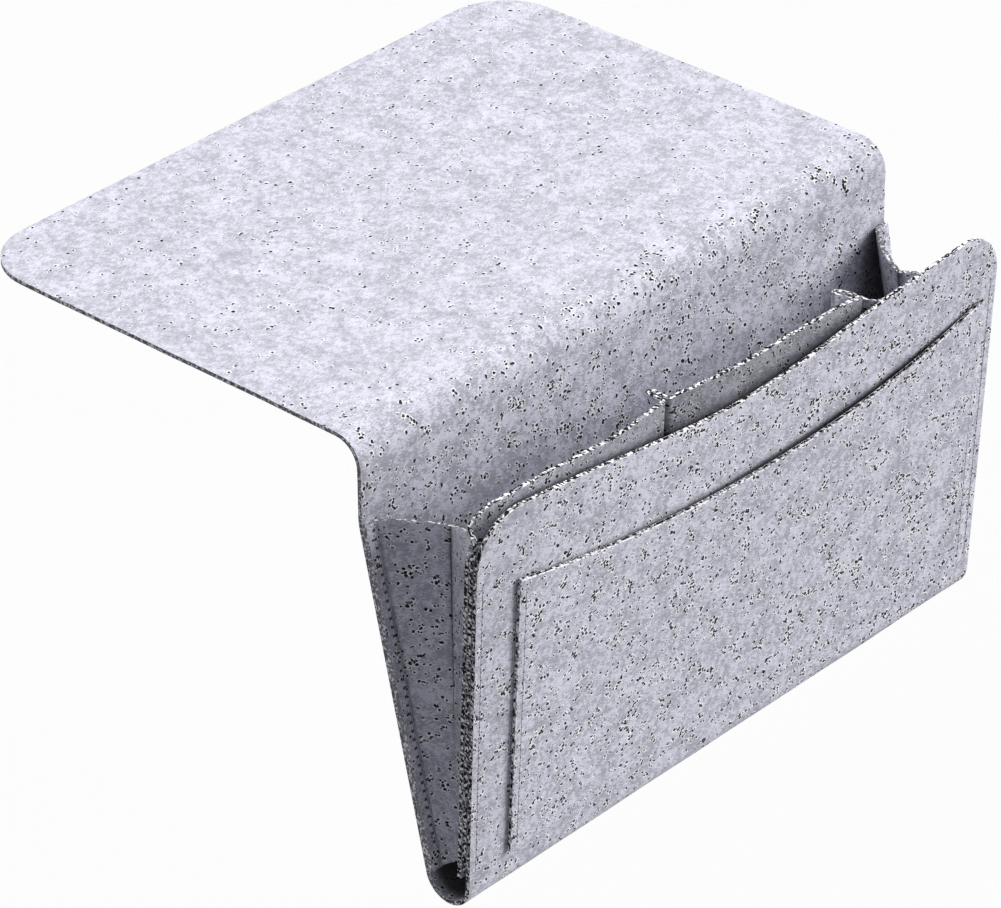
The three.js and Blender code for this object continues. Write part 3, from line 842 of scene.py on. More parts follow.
@dataclass
class FeltSheet:
    """One cut sheet of felt, folded to its place and given its thickness.

    Attributes:
        name: The piece's name.
        flat: The flat pattern in millimetres, rows by columns by two.
        middle: The folded middle surface in metres, rows by columns by three.
        specks_and_top_light: How strongly dark fibres show, lowered on the flap as painted top light, rows by
            columns.
        rawness_and_shade: How open and dark a cut edge is, with painted shade on cut edges in the stacked
            front seams, rows by columns.
        shade: Painted shade of both faces in folds, gaps and hollows, the outward one first, faces by rows by
            columns.
        runs_on: Whether the first and the last row run on in another piece.
        edge_round: Rounding of the cut edges in metres.
        edge_steps: Faces across the rounding.
        cut_angle: Angle between faces, in radians, above which their edge is a raw cut.
        sharp_angle: Angle between faces, in radians, above which their edge is shaded as sharp.
        piece: The piece, once it is built.
    """

    name: str
    flat: np.ndarray
    middle: np.ndarray
    specks_and_top_light: np.ndarray | None = None
    rawness_and_shade: np.ndarray | None = None
    shade: np.ndarray | None = None
    runs_on: tuple[bool, bool] = (False, False)
    edge_round: float = 0.0004
    edge_steps: int = 2
    cut_angle: float = math.radians(60)
    sharp_angle: float = math.radians(40)
    piece: bpy.types.Object | None = field(default=None, init=False)

    def build(self, shop: Workshop) -> bpy.types.Object:
        """Cuts the flat sheet, folds it, thickens it and rounds its cut edges.

        Args:
            shop: The finishes.

        Returns:
            The finished piece.
        """
        rows, columns = self.middle.shape[:2]
        deselect_all()
        bpy.ops.mesh.primitive_grid_add(x_subdivisions=columns - 1, y_subdivisions=rows - 1, size=1)
        self.piece = bpy.context.object
        self.piece.name = self.name
        mesh = self.piece.data
        mesh.name = self.name
        mesh.vertices.foreach_set("co", self.middle.reshape(-1).astype(np.float32))
        finishes = (shop.felt, shop.cut_edge, shop.fuzz_and_highlight)
        for finish in finishes:
            mesh.materials.append(finish)
        self.write_pattern(mesh)
        apply_modifier(
            self.piece,
            "SOLIDIFY",
            thickness=SIZES.felt * MM,
            offset=0.0,
            use_even_offset=False,
            material_offset_rim=finishes.index(shop.cut_edge),
        )
        self.write_depth(self.piece.data)
        self.mark_cut_edges(self.piece.data)
        apply_modifier(
            self.piece,
            "BEVEL",
            width=self.edge_round,
            segments=self.edge_steps,
            limit_method="WEIGHT",
            material=finishes.index(shop.fuzz_and_highlight),
        )
        make_active(self.piece)
        bpy.ops.object.shade_smooth_by_angle(angle=self.sharp_angle)
        return self.piece

    @staticmethod
    def store(mesh: bpy.types.Mesh, name: str, values: np.ndarray) -> None:
        """Stores one number for each point of a mesh under a name."""
        layer = mesh.attributes.new(name, "FLOAT", "POINT")
        layer.data.foreach_set("value", values.reshape(-1).astype(np.float32))

    def write_pattern(self, mesh: bpy.types.Mesh) -> None:
        """Stores each point's flat place, how strongly fibres show with painted top light, and how raw a cut
        is with painted shade.

        Args:
            mesh: The sheet's mesh while it is one layer.
        """
        rows, columns = self.middle.shape[:2]
        place = np.zeros((rows, columns, 3), np.float32)
        place[..., :2] = self.flat * MM
        layer = mesh.attributes.new("felt_flat", "FLOAT_VECTOR", "POINT")
        layer.data.foreach_set("vector", place.reshape(-1))
        for name, given in (("felt_specks", self.specks_and_top_light), ("felt_raw", self.rawness_and_shade)):
            self.store(mesh, name, np.ones((rows, columns)) if given is None else given)
        ends = np.zeros((rows, columns))
        ends[0], ends[-1] = self.runs_on
        self.store(mesh, "runs_on", ends)

    def write_depth(self, mesh: bpy.types.Mesh) -> None:
        """Gives the second face its own depth in the pattern, and each face its painted shade.

        Args:
            mesh: The sheet's mesh with both faces.
        """
        count = len(mesh.vertices)
        place = np.zeros(count * 3, np.float32)
        layer = mesh.attributes["felt_flat"]
        layer.data.foreach_get("vector", place)
        place = place.reshape(-1, 3)
        place[count // 2 :, 2] = SIZES.felt * MM
        layer.data.foreach_set("vector", place.reshape(-1))
        if self.shade is not None:
            self.store(mesh, "felt_shade", self.shade)

    def mark_cut_edges(self, mesh: bpy.types.Mesh) -> None:
        """Marks the raw cut edges for rounding, but not where the sheet runs on in another piece.

        Args:
            mesh: The sheet's mesh with both faces.
        """
        mesh.attributes.new("bevel_weight_edge", "FLOAT", "EDGE")
        shape = bmesh.new()
        shape.from_mesh(mesh)
        weight = shape.edges.layers.float["bevel_weight_edge"]
        joined = shape.verts.layers.float["runs_on"]
        for edge in shape.edges:
            cut = edge.calc_face_angle(0.0) > self.cut_angle
            on = all(vert[joined] > 0.5 for vert in edge.verts)
            edge[weight] = 1.0 if cut and not on else 0.0
        shape.to_mesh(mesh)
        shape.free()

    def declare_folded(self) -> None:
        widths = np.diff(self.flat[..., 0], axis=1)
        tall = self.flat[-1, :, 1] - self.flat[0, :, 1]
        size = (float(widths.sum(1).max()) * MM, float(tall.max()) * MM)


@dataclass
class FoldLine:
    """Middle line of a sheet that runs through straights and bends, drawn in y and z.

    Attributes:
        y: The end's y in millimetres.
        z: The end's z in millimetres.
        heading: The end's heading in radians.
        stretches: Start along the line, y, z, heading and curvature of each stretch.
        length: Length so far in millimetres.
    """

    y: float
    z: float
    heading: float
    stretches: list[tuple[float, float, float, float, float]] = field(default_factory=list)
    length: float = 0.0

    def straight(self, length: float) -> None:
        """Runs straight on for a length in millimetres."""
        self.run(length, 0.0)

    def bend(self, radius: float, angle: float) -> None:
        """Runs on through a bend: radius in millimetres, angle in radians, above zero to the left."""
        self.run(radius * abs(angle), math.copysign(1 / radius, angle))

    def run(self, length: float, curve: float) -> None:
        """Adds a stretch of even curve and moves the end on.

        Args:
            length: Length in millimetres.
            curve: Curvature per millimetre, above zero to the left.
        """
        self.stretches.append((self.length, self.y, self.z, self.heading, curve))
        end = self.step(self.y, self.z, self.heading, curve, length)
        self.y, self.z, self.heading = (float(value) for value in end)
        self.length += length

    @staticmethod
    def step(
        y: float, z: float, heading: float, curve: float, way: np.ndarray,
    ) -> tuple[np.ndarray, np.ndarray, np.ndarray]:
        """Place and heading after some way along an even curve.

        Args:
            y: Start's y.
            z: Start's z.
            heading: Start's heading in radians.
            curve: Curvature per millimetre.
            way: Way to go in millimetres.

        Returns:
            The y, z and heading there.
        """
        turned = heading + curve * way
        if abs(curve) < TINY:
            return y + way * math.cos(heading), z + way * math.sin(heading), turned
        return (
            y + (np.sin(turned) - math.sin(heading)) / curve,
            z - (np.cos(turned) - math.cos(heading)) / curve,
            turned,
        )

    def at(self, way: np.ndarray) -> tuple[np.ndarray, np.ndarray]:
        """Places on the line and the directions out of its show face.

        Args:
            way: Distances along the line in millimetres.

        Returns:
            Points as y and z, and unit normals as y and z.
        """
        way = np.asarray(way, float)
        place = np.zeros(way.shape + (2,))
        normal = np.zeros(way.shape + (2,))
        for begin, y, z, heading, curve in self.stretches:
            here = way >= begin - TINY
            py, pz, turned = self.step(y, z, heading, curve, way[here] - begin)
            turned = np.broadcast_to(turned, way[here].shape)
            place[here] = np.stack([py, pz], -1)
            normal[here] = np.stack([np.sin(turned), -np.cos(turned)], -1)
        return place, normal


@dataclass
class MainSheet:
    """Flap, shoulder, back, bottom and front in one run of felt.

    The back's flat middle is where the run is parted, so that each half bends about one fold. Lengths are
    in millimetres, and each fade is the start and the end of a soft step.
    """

    waviness: float = 0.22
    part_height: float = 96.0
    sag_start: float = 40.0
    dip_steps: int = 200
    straight_columns: int = 36
    corner_columns: int = 15
    flap_hold: float = 60.0
    flap_rows: int = 22
    front_hold: float = 110.0
    front_rows: int = 26
    flat_step: float = 3.5
    lean_step: float = 2.0
    bend_step: float = 1.2
    flap_specks_painted_light: float = 0.14
    specks_lead: float = 15.0
    specks_trail: float = 12.0
    back_rawness_and_shade: float = 0.45
    # Painted shade: under the pocket's mouth, in the bottom fold, on the back, in its right corner and on the
    # front's left.
    mouth_shade: float = 0.9
    mouth_sides: float = 4.0
    mouth_lead: float = 1.2
    mouth_ramp: float = 3.2
    mouth_fade: tuple[float, float] = (8.0, 14.0)
    bottom_shade: float = 0.9
    bottom_lead: float = 12.0
    bottom_inset: float = 2.0
    bottom_fade: tuple[float, float] = (-157.5, -152.5)
    back_shade: float = 0.1
    back_lead: float = 8.0
    back_trail: float = 3.0
    upper_fade: tuple[float, float] = (8.0, 30.0)
    left_shade: float = 0.09
    left_fade: tuple[float, float] = (20.0, 150.0)
    corner_shade: float = 0.85
    corner_x: float = 150.0
    corner_height: float = 165.0
    corner_slope: float = 0.55
    corner_blur: float = 7.0
    corner_fade: tuple[float, float] = (-168.0, -158.0)
    front_shade: float = 0.11
    front_fade: tuple[float, float] = (80.0, 150.0)
    line: FoldLine = field(init=False)
    shoulder_start: float = field(init=False)
    shoulder_end: float = field(init=False)
    lean_end: float = field(init=False)
    part: float = field(init=False)
    bottom_start: float = field(init=False)
    bottom_end: float = field(init=False)

    def __post_init__(self) -> None:
        """Draws the sheet's middle line."""
        s = SIZES
        mid = s.felt / 2
        lean_start = s.lean_drop - s.lean_radius * math.tan(s.back_lean / 2)
        self.line = FoldLine(s.flap_depth, -mid, math.pi)
        self.line.straight(s.flap_depth - s.shoulder_radius)
        self.shoulder_start = self.line.length
        self.line.bend(s.shoulder_radius - mid, math.pi / 2)
        self.shoulder_end = self.line.length
        self.line.straight(lean_start - s.shoulder_radius)
        self.line.bend(s.lean_radius + mid, -s.back_lean)
        self.lean_end = self.line.length
        lean_z = self.line.z
        foot_z = s.bottom_centre[1] - (s.bottom_radius - mid) * math.sin(s.back_lean)
        self.line.straight((lean_z - foot_z) / math.cos(s.back_lean))
        self.bottom_start = self.line.length
        self.line.bend(s.bottom_radius - mid, -(math.pi - s.back_lean - s.front_lean))
        self.bottom_end = self.line.length
        self.line.straight(float(s.up_front(s.front_height)))
        part_z = self.part_height - s.total_height
        self.part = self.lean_end + (lean_z - part_z) / math.cos(s.back_lean)

    def stations(self) -> np.ndarray:
        """Columns across the sheet, close together at the rounded corners.

        Returns:
            Places across in millimetres.
        """
        inside = SIZES.half - SIZES.flap_corner
        middle = np.linspace(0, inside, self.straight_columns)
        turn = np.linspace(0, math.pi / 2, self.corner_columns)[1:]
        half = np.concatenate([middle, inside + SIZES.flap_corner * np.sin(turn)])
        return np.concatenate([-half[:0:-1], half])

    def flap_end(self, x: np.ndarray) -> np.ndarray:
        """Where the flap begins along the run, with its rounded corners, in millimetres."""
        return corner_drop(x, SIZES.half, SIZES.flap_corner)

    def front_end(self, x: np.ndarray) -> np.ndarray:
        """Where the front ends along the run, with its rounded corners and its dip.

        Args:
            x: Places across in millimetres.

        Returns:
            Distances along the run in millimetres.
        """
        s = SIZES
        run = s.half - s.front_corner
        top = float(s.up_front(s.front_height))
        low = float(s.up_front(s.front_height - s.front_dip))
        far = low + (top - low) * s.dip_far_rise
        corners = [(0.0, low), (run * s.dip_near, low), (run * s.dip_far, far), (run, top)]
        dip = np.interp(np.abs(x), *bezier(corners, self.dip_steps).T)
        corner = top - corner_drop(x, s.half, s.front_corner)
        sag = s.right_sag * smooth(x, self.sag_start, s.half)
        return self.bottom_end + np.where(np.abs(x) > run, corner, dip) - sag

    def sheet(self, name: str, ways: np.ndarray, runs_on: tuple[bool, bool]) -> FeltSheet:
        """Makes one half of the run from the distances of its grid points.

        Args:
            name: The piece's name.
            ways: Distances along the run, rows by columns.
            runs_on: Whether the first and the last row run on in the other half.

        Returns:
            The sheet, ready to build.
        """
        s = SIZES
        x = np.broadcast_to(self.stations(), ways.shape)
        place, normal = self.line.at(ways)
        height = place[..., 1] + s.total_height
        # The felt lies flat where the gussets' rear flanges are sewn on.
        sewn = smooth(abs(x), s.half - 2 * s.sewn_margin, s.half - s.sewn_margin)
        sewn = sewn * smooth(ways, self.shoulder_end, self.lean_end)
        wave = uneven(x, ways, self.waviness) * (1 - sewn)
        place = place + normal * wave[..., None]
        across = x * s.half_at(height) / s.half
        middle = s.placed(np.stack([across, place[..., 0], place[..., 1]], -1))
        # The flap shows fewer, fainter flecks: painted top light, as light from above washes out the dark
        # fibres.
        begin, end = self.shoulder_start - self.specks_lead, self.shoulder_end + self.specks_trail
        shown = self.flap_specks_painted_light + (1 - self.flap_specks_painted_light) * smooth(ways, begin, end)
        # Cut edges from the bottom fold round the front get darker painted shade than those of the back.
        raw = self.back_rawness_and_shade + (1 - self.back_rawness_and_shade) * smooth(ways, self.bottom_start, self.bottom_end)
        shade = self.shade(across, ways, height)
        return FeltSheet(name, np.stack([across, ways], -1), middle, shown, raw, shade, runs_on)

    def shade(self, x: np.ndarray, ways: np.ndarray, height: np.ndarray) -> np.ndarray:
        """Painted shade on the felt: outside at the pocket's mouth and the left, inside in bottom and back.

        Args:
            x: Places across in millimetres.
            ways: Distances along the run in millimetres.
            height: Heights above the lowest line in millimetres.

        Returns:
            Painted shades of the outer and the inner face.
        """
        s = SIZES
        on_front = ways > self.bottom_end
        covered = smooth(x, s.pocket_left, s.pocket_left + self.mouth_sides)
        covered = covered * smooth(-x, -s.pocket_right, self.mouth_sides - s.pocket_right)
        below = OuterPocket().mouth(x) - height
        under = np.clip((below + self.mouth_lead) / self.mouth_ramp, 0, 1)
        under = under * (1 - smooth(below, *self.mouth_fade)) * covered * on_front
        left = self.front_shade * smooth(-x, *self.front_fade) * on_front

        bottom = smooth(ways, self.bottom_start - self.bottom_lead, self.bottom_start + self.bottom_inset)
        past = smooth(ways, self.bottom_end - self.bottom_inset, self.bottom_end + self.bottom_lead)
        bottom = bottom * (1 - past) * smooth(-abs(x), *self.bottom_fade)
        back = smooth(ways, self.shoulder_start + self.back_lead, self.shoulder_end + self.back_trail)
        back = back * (ways < self.bottom_start)
        level = self.corner_x - self.corner_slope * self.corner_height
        corner = smooth(x - self.corner_slope * height, level - self.corner_blur, level + self.corner_blur)
        corner = corner * smooth(-height, *self.corner_fade)
        upper = 1 - smooth(ways, *(self.shoulder_end + reach for reach in self.upper_fade))
        even = self.back_shade * upper + self.left_shade * smooth(-x, *self.left_fade)
        inside = np.maximum(self.bottom_shade * bottom, back * np.maximum(even, self.corner_shade * corner))
        return np.stack([np.maximum(self.mouth_shade * under, left), inside])

    def rows(self, start: float, end: float, step: float) -> np.ndarray:
        """Rows along a stretch without its start, evenly spread and about a step apart, in millimetres."""
        count = max(1, round((end - start) / step))
        return np.linspace(start, end, count + 1)[1:]

    def build(self, shop: Workshop) -> list[bpy.types.Object]:
        """Builds both halves and lets each bend about its fold.

        Args:
            shop: The finishes.

        Returns:
            The two pieces.
        """
        x = self.stations()
        begin = self.flap_end(x)[None, :]
        first = begin + (self.flap_hold - begin) * np.linspace(0, 1, self.flap_rows)[:, None]
        even = np.concatenate([
            self.rows(self.flap_hold, self.shoulder_start, self.flat_step),
            self.rows(self.shoulder_start, self.shoulder_end, self.bend_step),
            self.rows(self.shoulder_end, self.lean_end, self.lean_step),
            self.rows(self.lean_end, self.part, self.flat_step),
        ])
        upper_ways = np.concatenate([first, np.repeat(even[:, None], len(x), 1)])
        upper = self.sheet("flap_and_back_felt", upper_ways, (False, True))

        hold = self.bottom_end + self.front_hold
        even = np.concatenate([
            [self.part],
            self.rows(self.part, self.bottom_start, self.flat_step),
            self.rows(self.bottom_start, self.bottom_end, self.bend_step),
            self.rows(self.bottom_end, hold, self.flat_step),
        ])
        end = self.front_end(x)[None, :]
        last = hold + (end - hold) * np.linspace(0, 1, self.front_rows)[1:, None]
        lower_ways = np.concatenate([np.repeat(even[:, None], len(x), 1), last])
        lower = self.sheet("back_and_front_felt", lower_ways, (True, False))

        for half in (upper, lower):
            half.build(shop)
        self.bend(upper.piece, Body.FLAP, Body.BACK, self.shoulder_start, self.shoulder_end)
        self.bend(lower.piece, Body.BACK, Body.FRONT, self.bottom_start, self.bottom_end)
        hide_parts("flap", "shoulder_bend", "back_panel")
        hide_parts("bottom_bend", "front_panel")
        return [upper.piece, lower.piece]

    def bend(self, piece: bpy.types.Object, first: Body, second: Body, start: float, end: float) -> None:
        """Lets a half follow two bodies across the fold between them.

        Args:
            piece: The half.
            first: Body before the fold.
            second: Body after the fold.
            start: Where the fold starts along the run.
            end: Where the fold ends along the run.
        """
        place, _ = self.line.at(np.array([start, end]))
        points = SIZES.placed(np.stack([np.zeros(2), place[:, 0], place[:, 1]], -1))
        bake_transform(piece, first.value, second.value, start=tuple(points[0]), end=tuple(points[1]))


@dataclass
class Gusset:
    """A folded side wall of the pocket, sewn between the back and the front.

    Lengths are in millimetres. A fade by columns pairs distances in columns with shares of the painted shade.

    Attributes:
        side: The side that it closes.
        fold: How far its crease reaches inwards at the top.
        crease: Where the crease lies, as a share of the way from the back to the front.
        rise: How far its upper edge rises towards the front.
    """

    side: Side
    fold: float
    crease: float
    rise: float
    rows: int = 44
    steps: int = 26
    flange_steps: int = 5
    curve: tuple[tuple[float, float], ...] = ((0.38, 0.3), (0.8, 0.66), (1.0, 1.0))
    crease_passes: int = 2
    groove: float = 1.0
    usual_span: float = 50.0
    rise_share: float = 0.48
    droop_reach: float = 25.0
    waviness: float = 0.12
    wave_shift: float = 90.0
    wave_reach: float = 8.0
    pattern_shift: float = 500.0
    least_raw_and_shade: float = 0.3
    raw_reach: float = 10.0
    crease_shade: float = 0.9
    crease_columns: tuple[tuple[float, ...], tuple[float, ...]] = ((0, 1, 2.5), (1, 0.45, 0))
    crease_fade: tuple[float, float] = (60.0, 130.0)
    turn_shade: float = 0.5
    turn_columns: tuple[tuple[float, ...], tuple[float, ...]] = ((0, 1, 2), (1, 0.5, 0))
    blend_height: float = 90.0
    blend_reach: float = 20.0

    def edge_at(self, height: float) -> float:
        """Half of the front's width in millimetres at a height, with its rounded upper corner."""
        drop = corner_drop(height, SIZES.front_height, SIZES.front_corner)
        return float(SIZES.half_at(height) - drop)

    def line(self, edge: float, span: float, depth: float) -> np.ndarray:
        """Middle line of the gusset across one level, with its crease.

        Args:
            edge: Half width of the caddy at the level.
            span: Distance between the back and the front flange's outer faces.
            depth: How far the crease reaches inwards.

        Returns:
            Points as x and distance from the back, in millimetres.
        """
        bend = SIZES.felt / 2
        turn_x = edge - SIZES.gusset_flange
        rear, ahead = [
            bezier(
                [(turn_x, bend), *((turn_x - into * depth, along * reach) for into, along in self.curve)],
                self.steps,
            )
            for reach in (span * self.crease, span * (1 - self.crease))
        ]
        ahead = ahead[::-1] * (1, -1) + (0, span)
        flange = np.linspace((edge, bend), (turn_x, bend), self.flange_steps)[:-1]
        far = flange[::-1] * (1, -1) + (0, span)
        line = np.concatenate([flange, rear, ahead[1:], far])
        for _ in range(self.crease_passes):
            line[1:-1] = (line[:-2] + 2 * line[1:-1] + line[2:]) / 4
        line[len(line) // 2, 0] -= self.groove
        return line * (self.side.value, 1)

    def levels(self) -> np.ndarray:
        """Heights of all grid points: the upper edge may rise to the front, the lower one drops to the back.

        Returns:
            Heights above the lowest line in millimetres, rows by columns.
        """
        s = SIZES
        along = self.line(s.half, self.usual_span, self.fold)[:, 1]
        past_crease = (along / self.usual_span - self.crease) / self.rise_share
        top = s.gusset_top + self.rise * np.clip(past_crease, 0, 1)
        bottom = s.gusset_bottom - s.gusset_droop * np.clip(1 - along / self.droop_reach, 0, 1)
        return bottom + (top - bottom) * np.linspace(0, 1, self.rows)[:, None]

    def point(self, height: float, column: int) -> tuple[np.ndarray, float]:
        """One point of the folded gusset.

        Args:
            height: Height above the lowest line in millimetres.
            column: Number of the point across the gusset.

        Returns:
            The point in millimetres from the fold line, and its way from the crease on the flat pattern.
        """
        s = SIZES
        z = height - s.total_height
        rear = np.array([0.0, s.back_face_y(z) - s.sewn_gap / math.cos(s.back_lean), z])
        forward = s.on_front(0.0, height, s.flange_depth) - rear
        span = float(np.linalg.norm(forward))
        share = (height - s.gusset_bottom) / (s.gusset_top - s.gusset_bottom)
        line = self.line(self.edge_at(height), span, s.least_fold + (self.fold - s.least_fold) * share)
        steps = np.linalg.norm(np.diff(line, axis=0), axis=1)
        half_way = np.sum(steps) / 2
        way = float(np.sum(steps[:column]) - half_way)
        point = rear + line[column, 1] * forward / span
        turn = half_way - s.gusset_flange
        free = smooth(abs(way), turn, turn - self.wave_reach)
        wave = uneven(way + self.wave_shift * self.side.value, height, self.waviness)
        point[0] = line[column, 0] + float(free * wave)
        return point, way

    def build(self, shop: Workshop) -> bpy.types.Object:
        """Folds the gusset and lets it open and close with the front.

        Args:
            shop: The finishes.

        Returns:
            The gusset.
        """
        heights = self.levels()
        middle = np.zeros(heights.shape + (3,))
        ways = np.zeros(heights.shape)
        for row, column in np.ndindex(*heights.shape):
            middle[row, column], ways[row, column] = self.point(heights[row, column], column)
        flat = np.stack([ways + self.pattern_shift * self.side.value, heights], -1)
        # The front half's cut edges get darker painted shade than the rear half's.
        raw = self.least_raw_and_shade + (1 - self.least_raw_and_shade) * smooth(ways[0], -self.raw_reach, self.raw_reach)
        sheet = FeltSheet(
            f"{self.side.word}_gusset_felt",
            flat,
            SIZES.placed(middle),
            rawness_and_shade=np.broadcast_to(raw, heights.shape),
            shade=self.shade(heights),
        )
        piece = sheet.build(shop)
        self.follow(piece)
        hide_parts(f"{self.side.word}_gusset")
        sheet.declare_folded()
        return piece

    def shade(self, heights: np.ndarray) -> np.ndarray:
        """Painted shade in the crease and in the rear turn.

        Args:
            heights: Heights of all grid points in millimetres, rows by columns.

        Returns:
            Painted shades of both faces, which are the same.
        """
        columns = np.arange(heights.shape[1])
        from_crease = abs(columns - len(columns) // 2)
        from_turn = abs(columns - (self.flange_steps - 1))
        line = self.crease_shade * np.interp(from_crease, *self.crease_columns)
        line = line * smooth(heights, *self.crease_fade)
        line = np.maximum(line, self.turn_shade * np.interp(from_turn, *self.turn_columns))
        return np.stack([line, line])

    def follow(self, piece: bpy.types.Object) -> None:
        """Lets the gusset follow the back at its rear and the front at its front.

        Args:
            piece: The gusset.
        """
        s = SIZES
        half_turn = (s.back_lean - s.front_lean) / 2
        z = self.blend_height - s.total_height
        rear_y = s.back_face_y(z)
        front_y = float(s.on_front(0.0, self.blend_height, s.felt)[1])
        centre = np.array([0.0, (rear_y + front_y) / 2, z])
        ahead = np.array([0.0, -math.cos(half_turn), math.sin(half_turn)])
        reach = self.blend_reach * ahead
        start, end = s.placed(np.array([centre - reach, centre + reach]))
        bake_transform(piece, Body.BACK.value, Body.FRONT.value, start=tuple(start), end=tuple(end))


@dataclass(frozen=True)
class InnerPockets:
    """The sheet behind the front, with two pinched pleats that part it in three pockets.

    Lengths are in millimetres, and each fade is the start and the end of a soft step.
    """

    rows: int = 56
    crowding: float = 1.4
    corner_columns: int = 14
    span_columns: tuple[int, int, int] = (34, 34, 26)
    edge_marks: tuple[float, ...] = (0, 0.05, 0.18, 0.36, 0.5, 0.7, 1)
    pull_marks: tuple[float, ...] = (3, 2, 1, 0)
    ease_marks: tuple[float, ...] = (0, 0.25, 0.5, 0.75, 1)
    fillet: float = 1.7
    fillet_points: int = 6
    leg_shares: tuple[float, ...] = (0.25, 0.5, 0.75)
    tip_points: int = 11
    waviness: float = 0.15
    wave_shift: float = 700.0
    wave_margin: float = 26.0
    narrow_reach: float = 20.0
    pattern_shift: float = 1200.0
    # Painted shade on the front face: even over it, and darker in the gap behind the front's rim.
    face_shade: float = 0.46
    left_ease: float = 0.18
    left_fade: tuple[float, float] = (60.0, 110.0)
    gap_shade: float = 0.85
    gap_fade: tuple[float, float] = (-3.2, -0.8)
    deep_shade: float = 0.45
    deep_fade: tuple[float, float] = (6.0, 14.0)
    shade_aside: float = 1.08
    shade_drop: float = 0.91

    def right_share(self, x: np.ndarray) -> np.ndarray:
        """How far a place lies in the right pocket, whose edge sits lower, from 0 to 1."""
        begin = SIZES.right_pleat - SIZES.right_lead
        return smooth(x, begin, begin + SIZES.right_ease)

    def top(self, x: np.ndarray) -> np.ndarray:
        """Height of the sheet's upper edge.

        Args:
            x: Places across in millimetres.

        Returns:
            Heights above the lowest line in millimetres.
        """
        s = SIZES
        rise = s.inner_rise * smooth(-x, s.rise_start, s.rise_start + s.rise_reach)
        edge = s.inner_top + rise - s.right_drop * self.right_share(x)
        return edge - corner_drop(x, s.half, s.inner_corner)

    def even_depth(self, x: float | np.ndarray, height: float) -> float | np.ndarray:
        """Depth of the sheet's front face behind the front, without its pleats.

        Args:
            x: Places across in millimetres.
            height: Height above the lowest line in millimetres.

        Returns:
            Depths in millimetres.
        """
        s = SIZES
        rise = min(max((height - s.inner_bottom) / (s.inner_top - s.inner_bottom), 0.0), 1.0)
        free = float(smooth(height, s.free_start, s.free_end)) * float(np.all(x < 0))
        flange_end = s.half - s.inner_flange - (s.free_flange - s.inner_flange) * free
        ramp_end = flange_end - s.inner_ramp - (s.free_ramp - s.inner_ramp) * free
        edges = s.half - s.inner_corner * np.array(self.edge_marks)
        pulls = s.pull_reach * s.pull_step * np.array(self.pull_marks)
        pleat_half = s.pleat_loop / 2
        eases = s.right_pleat + pleat_half + s.felt + s.right_ease * np.array(self.ease_marks)
        marks = np.sort(np.concatenate([
            -edges,
            [-ramp_end, ramp_end],
            s.left_pleat - pulls,
            s.left_pleat + pulls[:-1],
            [s.right_pleat - pleat_half - s.felt],
            eases,
            edges,
        ]))
        standoff = s.inner_standoff + (s.right_standoff - s.inner_standoff) * self.right_share(marks)
        standoff = standoff + s.pleat_pull * np.exp(-(((marks - s.left_pleat) / s.pull_reach) ** 2))
        standoff = s.hem_standoff + (standoff - s.hem_standoff) * math.sin(rise * math.pi / 2)
        held = 1 - smooth(np.abs(marks), ramp_end, flange_end)
        return s.inner_depth + np.interp(x, marks, standoff * held)

    def shade(self, x: np.ndarray, heights: np.ndarray, depth: np.ndarray) -> np.ndarray:
        """Painted shade on the sheet's front face: even over it, lighter to the left, and darker in the gap
        behind the front's rim.

        Args:
            x: Places across in millimetres.
            heights: Heights above the lowest line in millimetres.
            depth: Depths behind the front's outer face in millimetres.

        Returns:
            Shades from 0 to 1.
        """
        main = MainSheet()
        seen_at = np.clip(x - self.shade_aside * depth, -SIZES.half, SIZES.half)
        rim = main.front_end(seen_at) - main.bottom_end
        below = rim - SIZES.up_front(heights) - self.shade_drop * depth
        dark = self.gap_shade - self.deep_shade * smooth(below, *self.deep_fade)
        gap = dark * smooth(below, *self.gap_fade)
        face = self.face_shade - self.left_ease * smooth(-x, *self.left_fade)
        return 1 - (1 - face) * (1 - gap)

    def pleat_line(self, centre: float) -> np.ndarray:
        """The pinched pleat across, as places across and depths behind the sheet, for a depth of one.

        Args:
            centre: Middle of the pleat in millimetres.

        Returns:
            Rows of place across, share of the pleat's depth, and depth that stays the same.
        """
        fillet = self.fillet
        leg = (SIZES.pleat_loop + SIZES.felt) / 2
        turn = np.linspace(0, math.pi / 2, self.fillet_points)
        into = [(-leg - fillet + fillet * math.sin(a), 0.0, fillet * (1 - math.cos(a))) for a in turn]
        rise = [(-leg, share, fillet * (1 - share)) for share in self.leg_shares]
        turn = np.linspace(0, math.pi, self.tip_points)
        tip = [(-leg * math.cos(a), 1.0, leg * math.sin(a) - leg) for a in turn]
        middle = self.tip_points // 2
        half = into + rise + tip[:middle]
        line = np.array(half + [tip[middle]] + [(-x, share, fixed) for x, share, fixed in half[::-1]])
        line[:, 0] += centre
        return line

    def across(self) -> np.ndarray:
        """The sheet's line across: places, shares of the pleat's depth, and depths that stay the same.

        Returns:
            Rows of three numbers, from left to right.
        """
        s = SIZES
        left, right = self.pleat_line(s.left_pleat), self.pleat_line(s.right_pleat)
        turn = np.linspace(0, math.pi / 2, self.corner_columns)
        corner = s.half - s.inner_corner + s.inner_corner * np.sin(turn)
        ends = ((-corner[0], left[0, 0]), (left[-1, 0], right[0, 0]), (right[-1, 0], corner[0]))
        spans = [np.linspace(*pair, count)[1:-1] for pair, count in zip(ends, self.span_columns)]
        plain = [
            np.stack([x, np.zeros_like(x), np.zeros_like(x)], -1) for x in (-corner[::-1], *spans, corner)
        ]
        return np.concatenate([plain[0], plain[1], left, plain[2], right, plain[3], plain[4]])

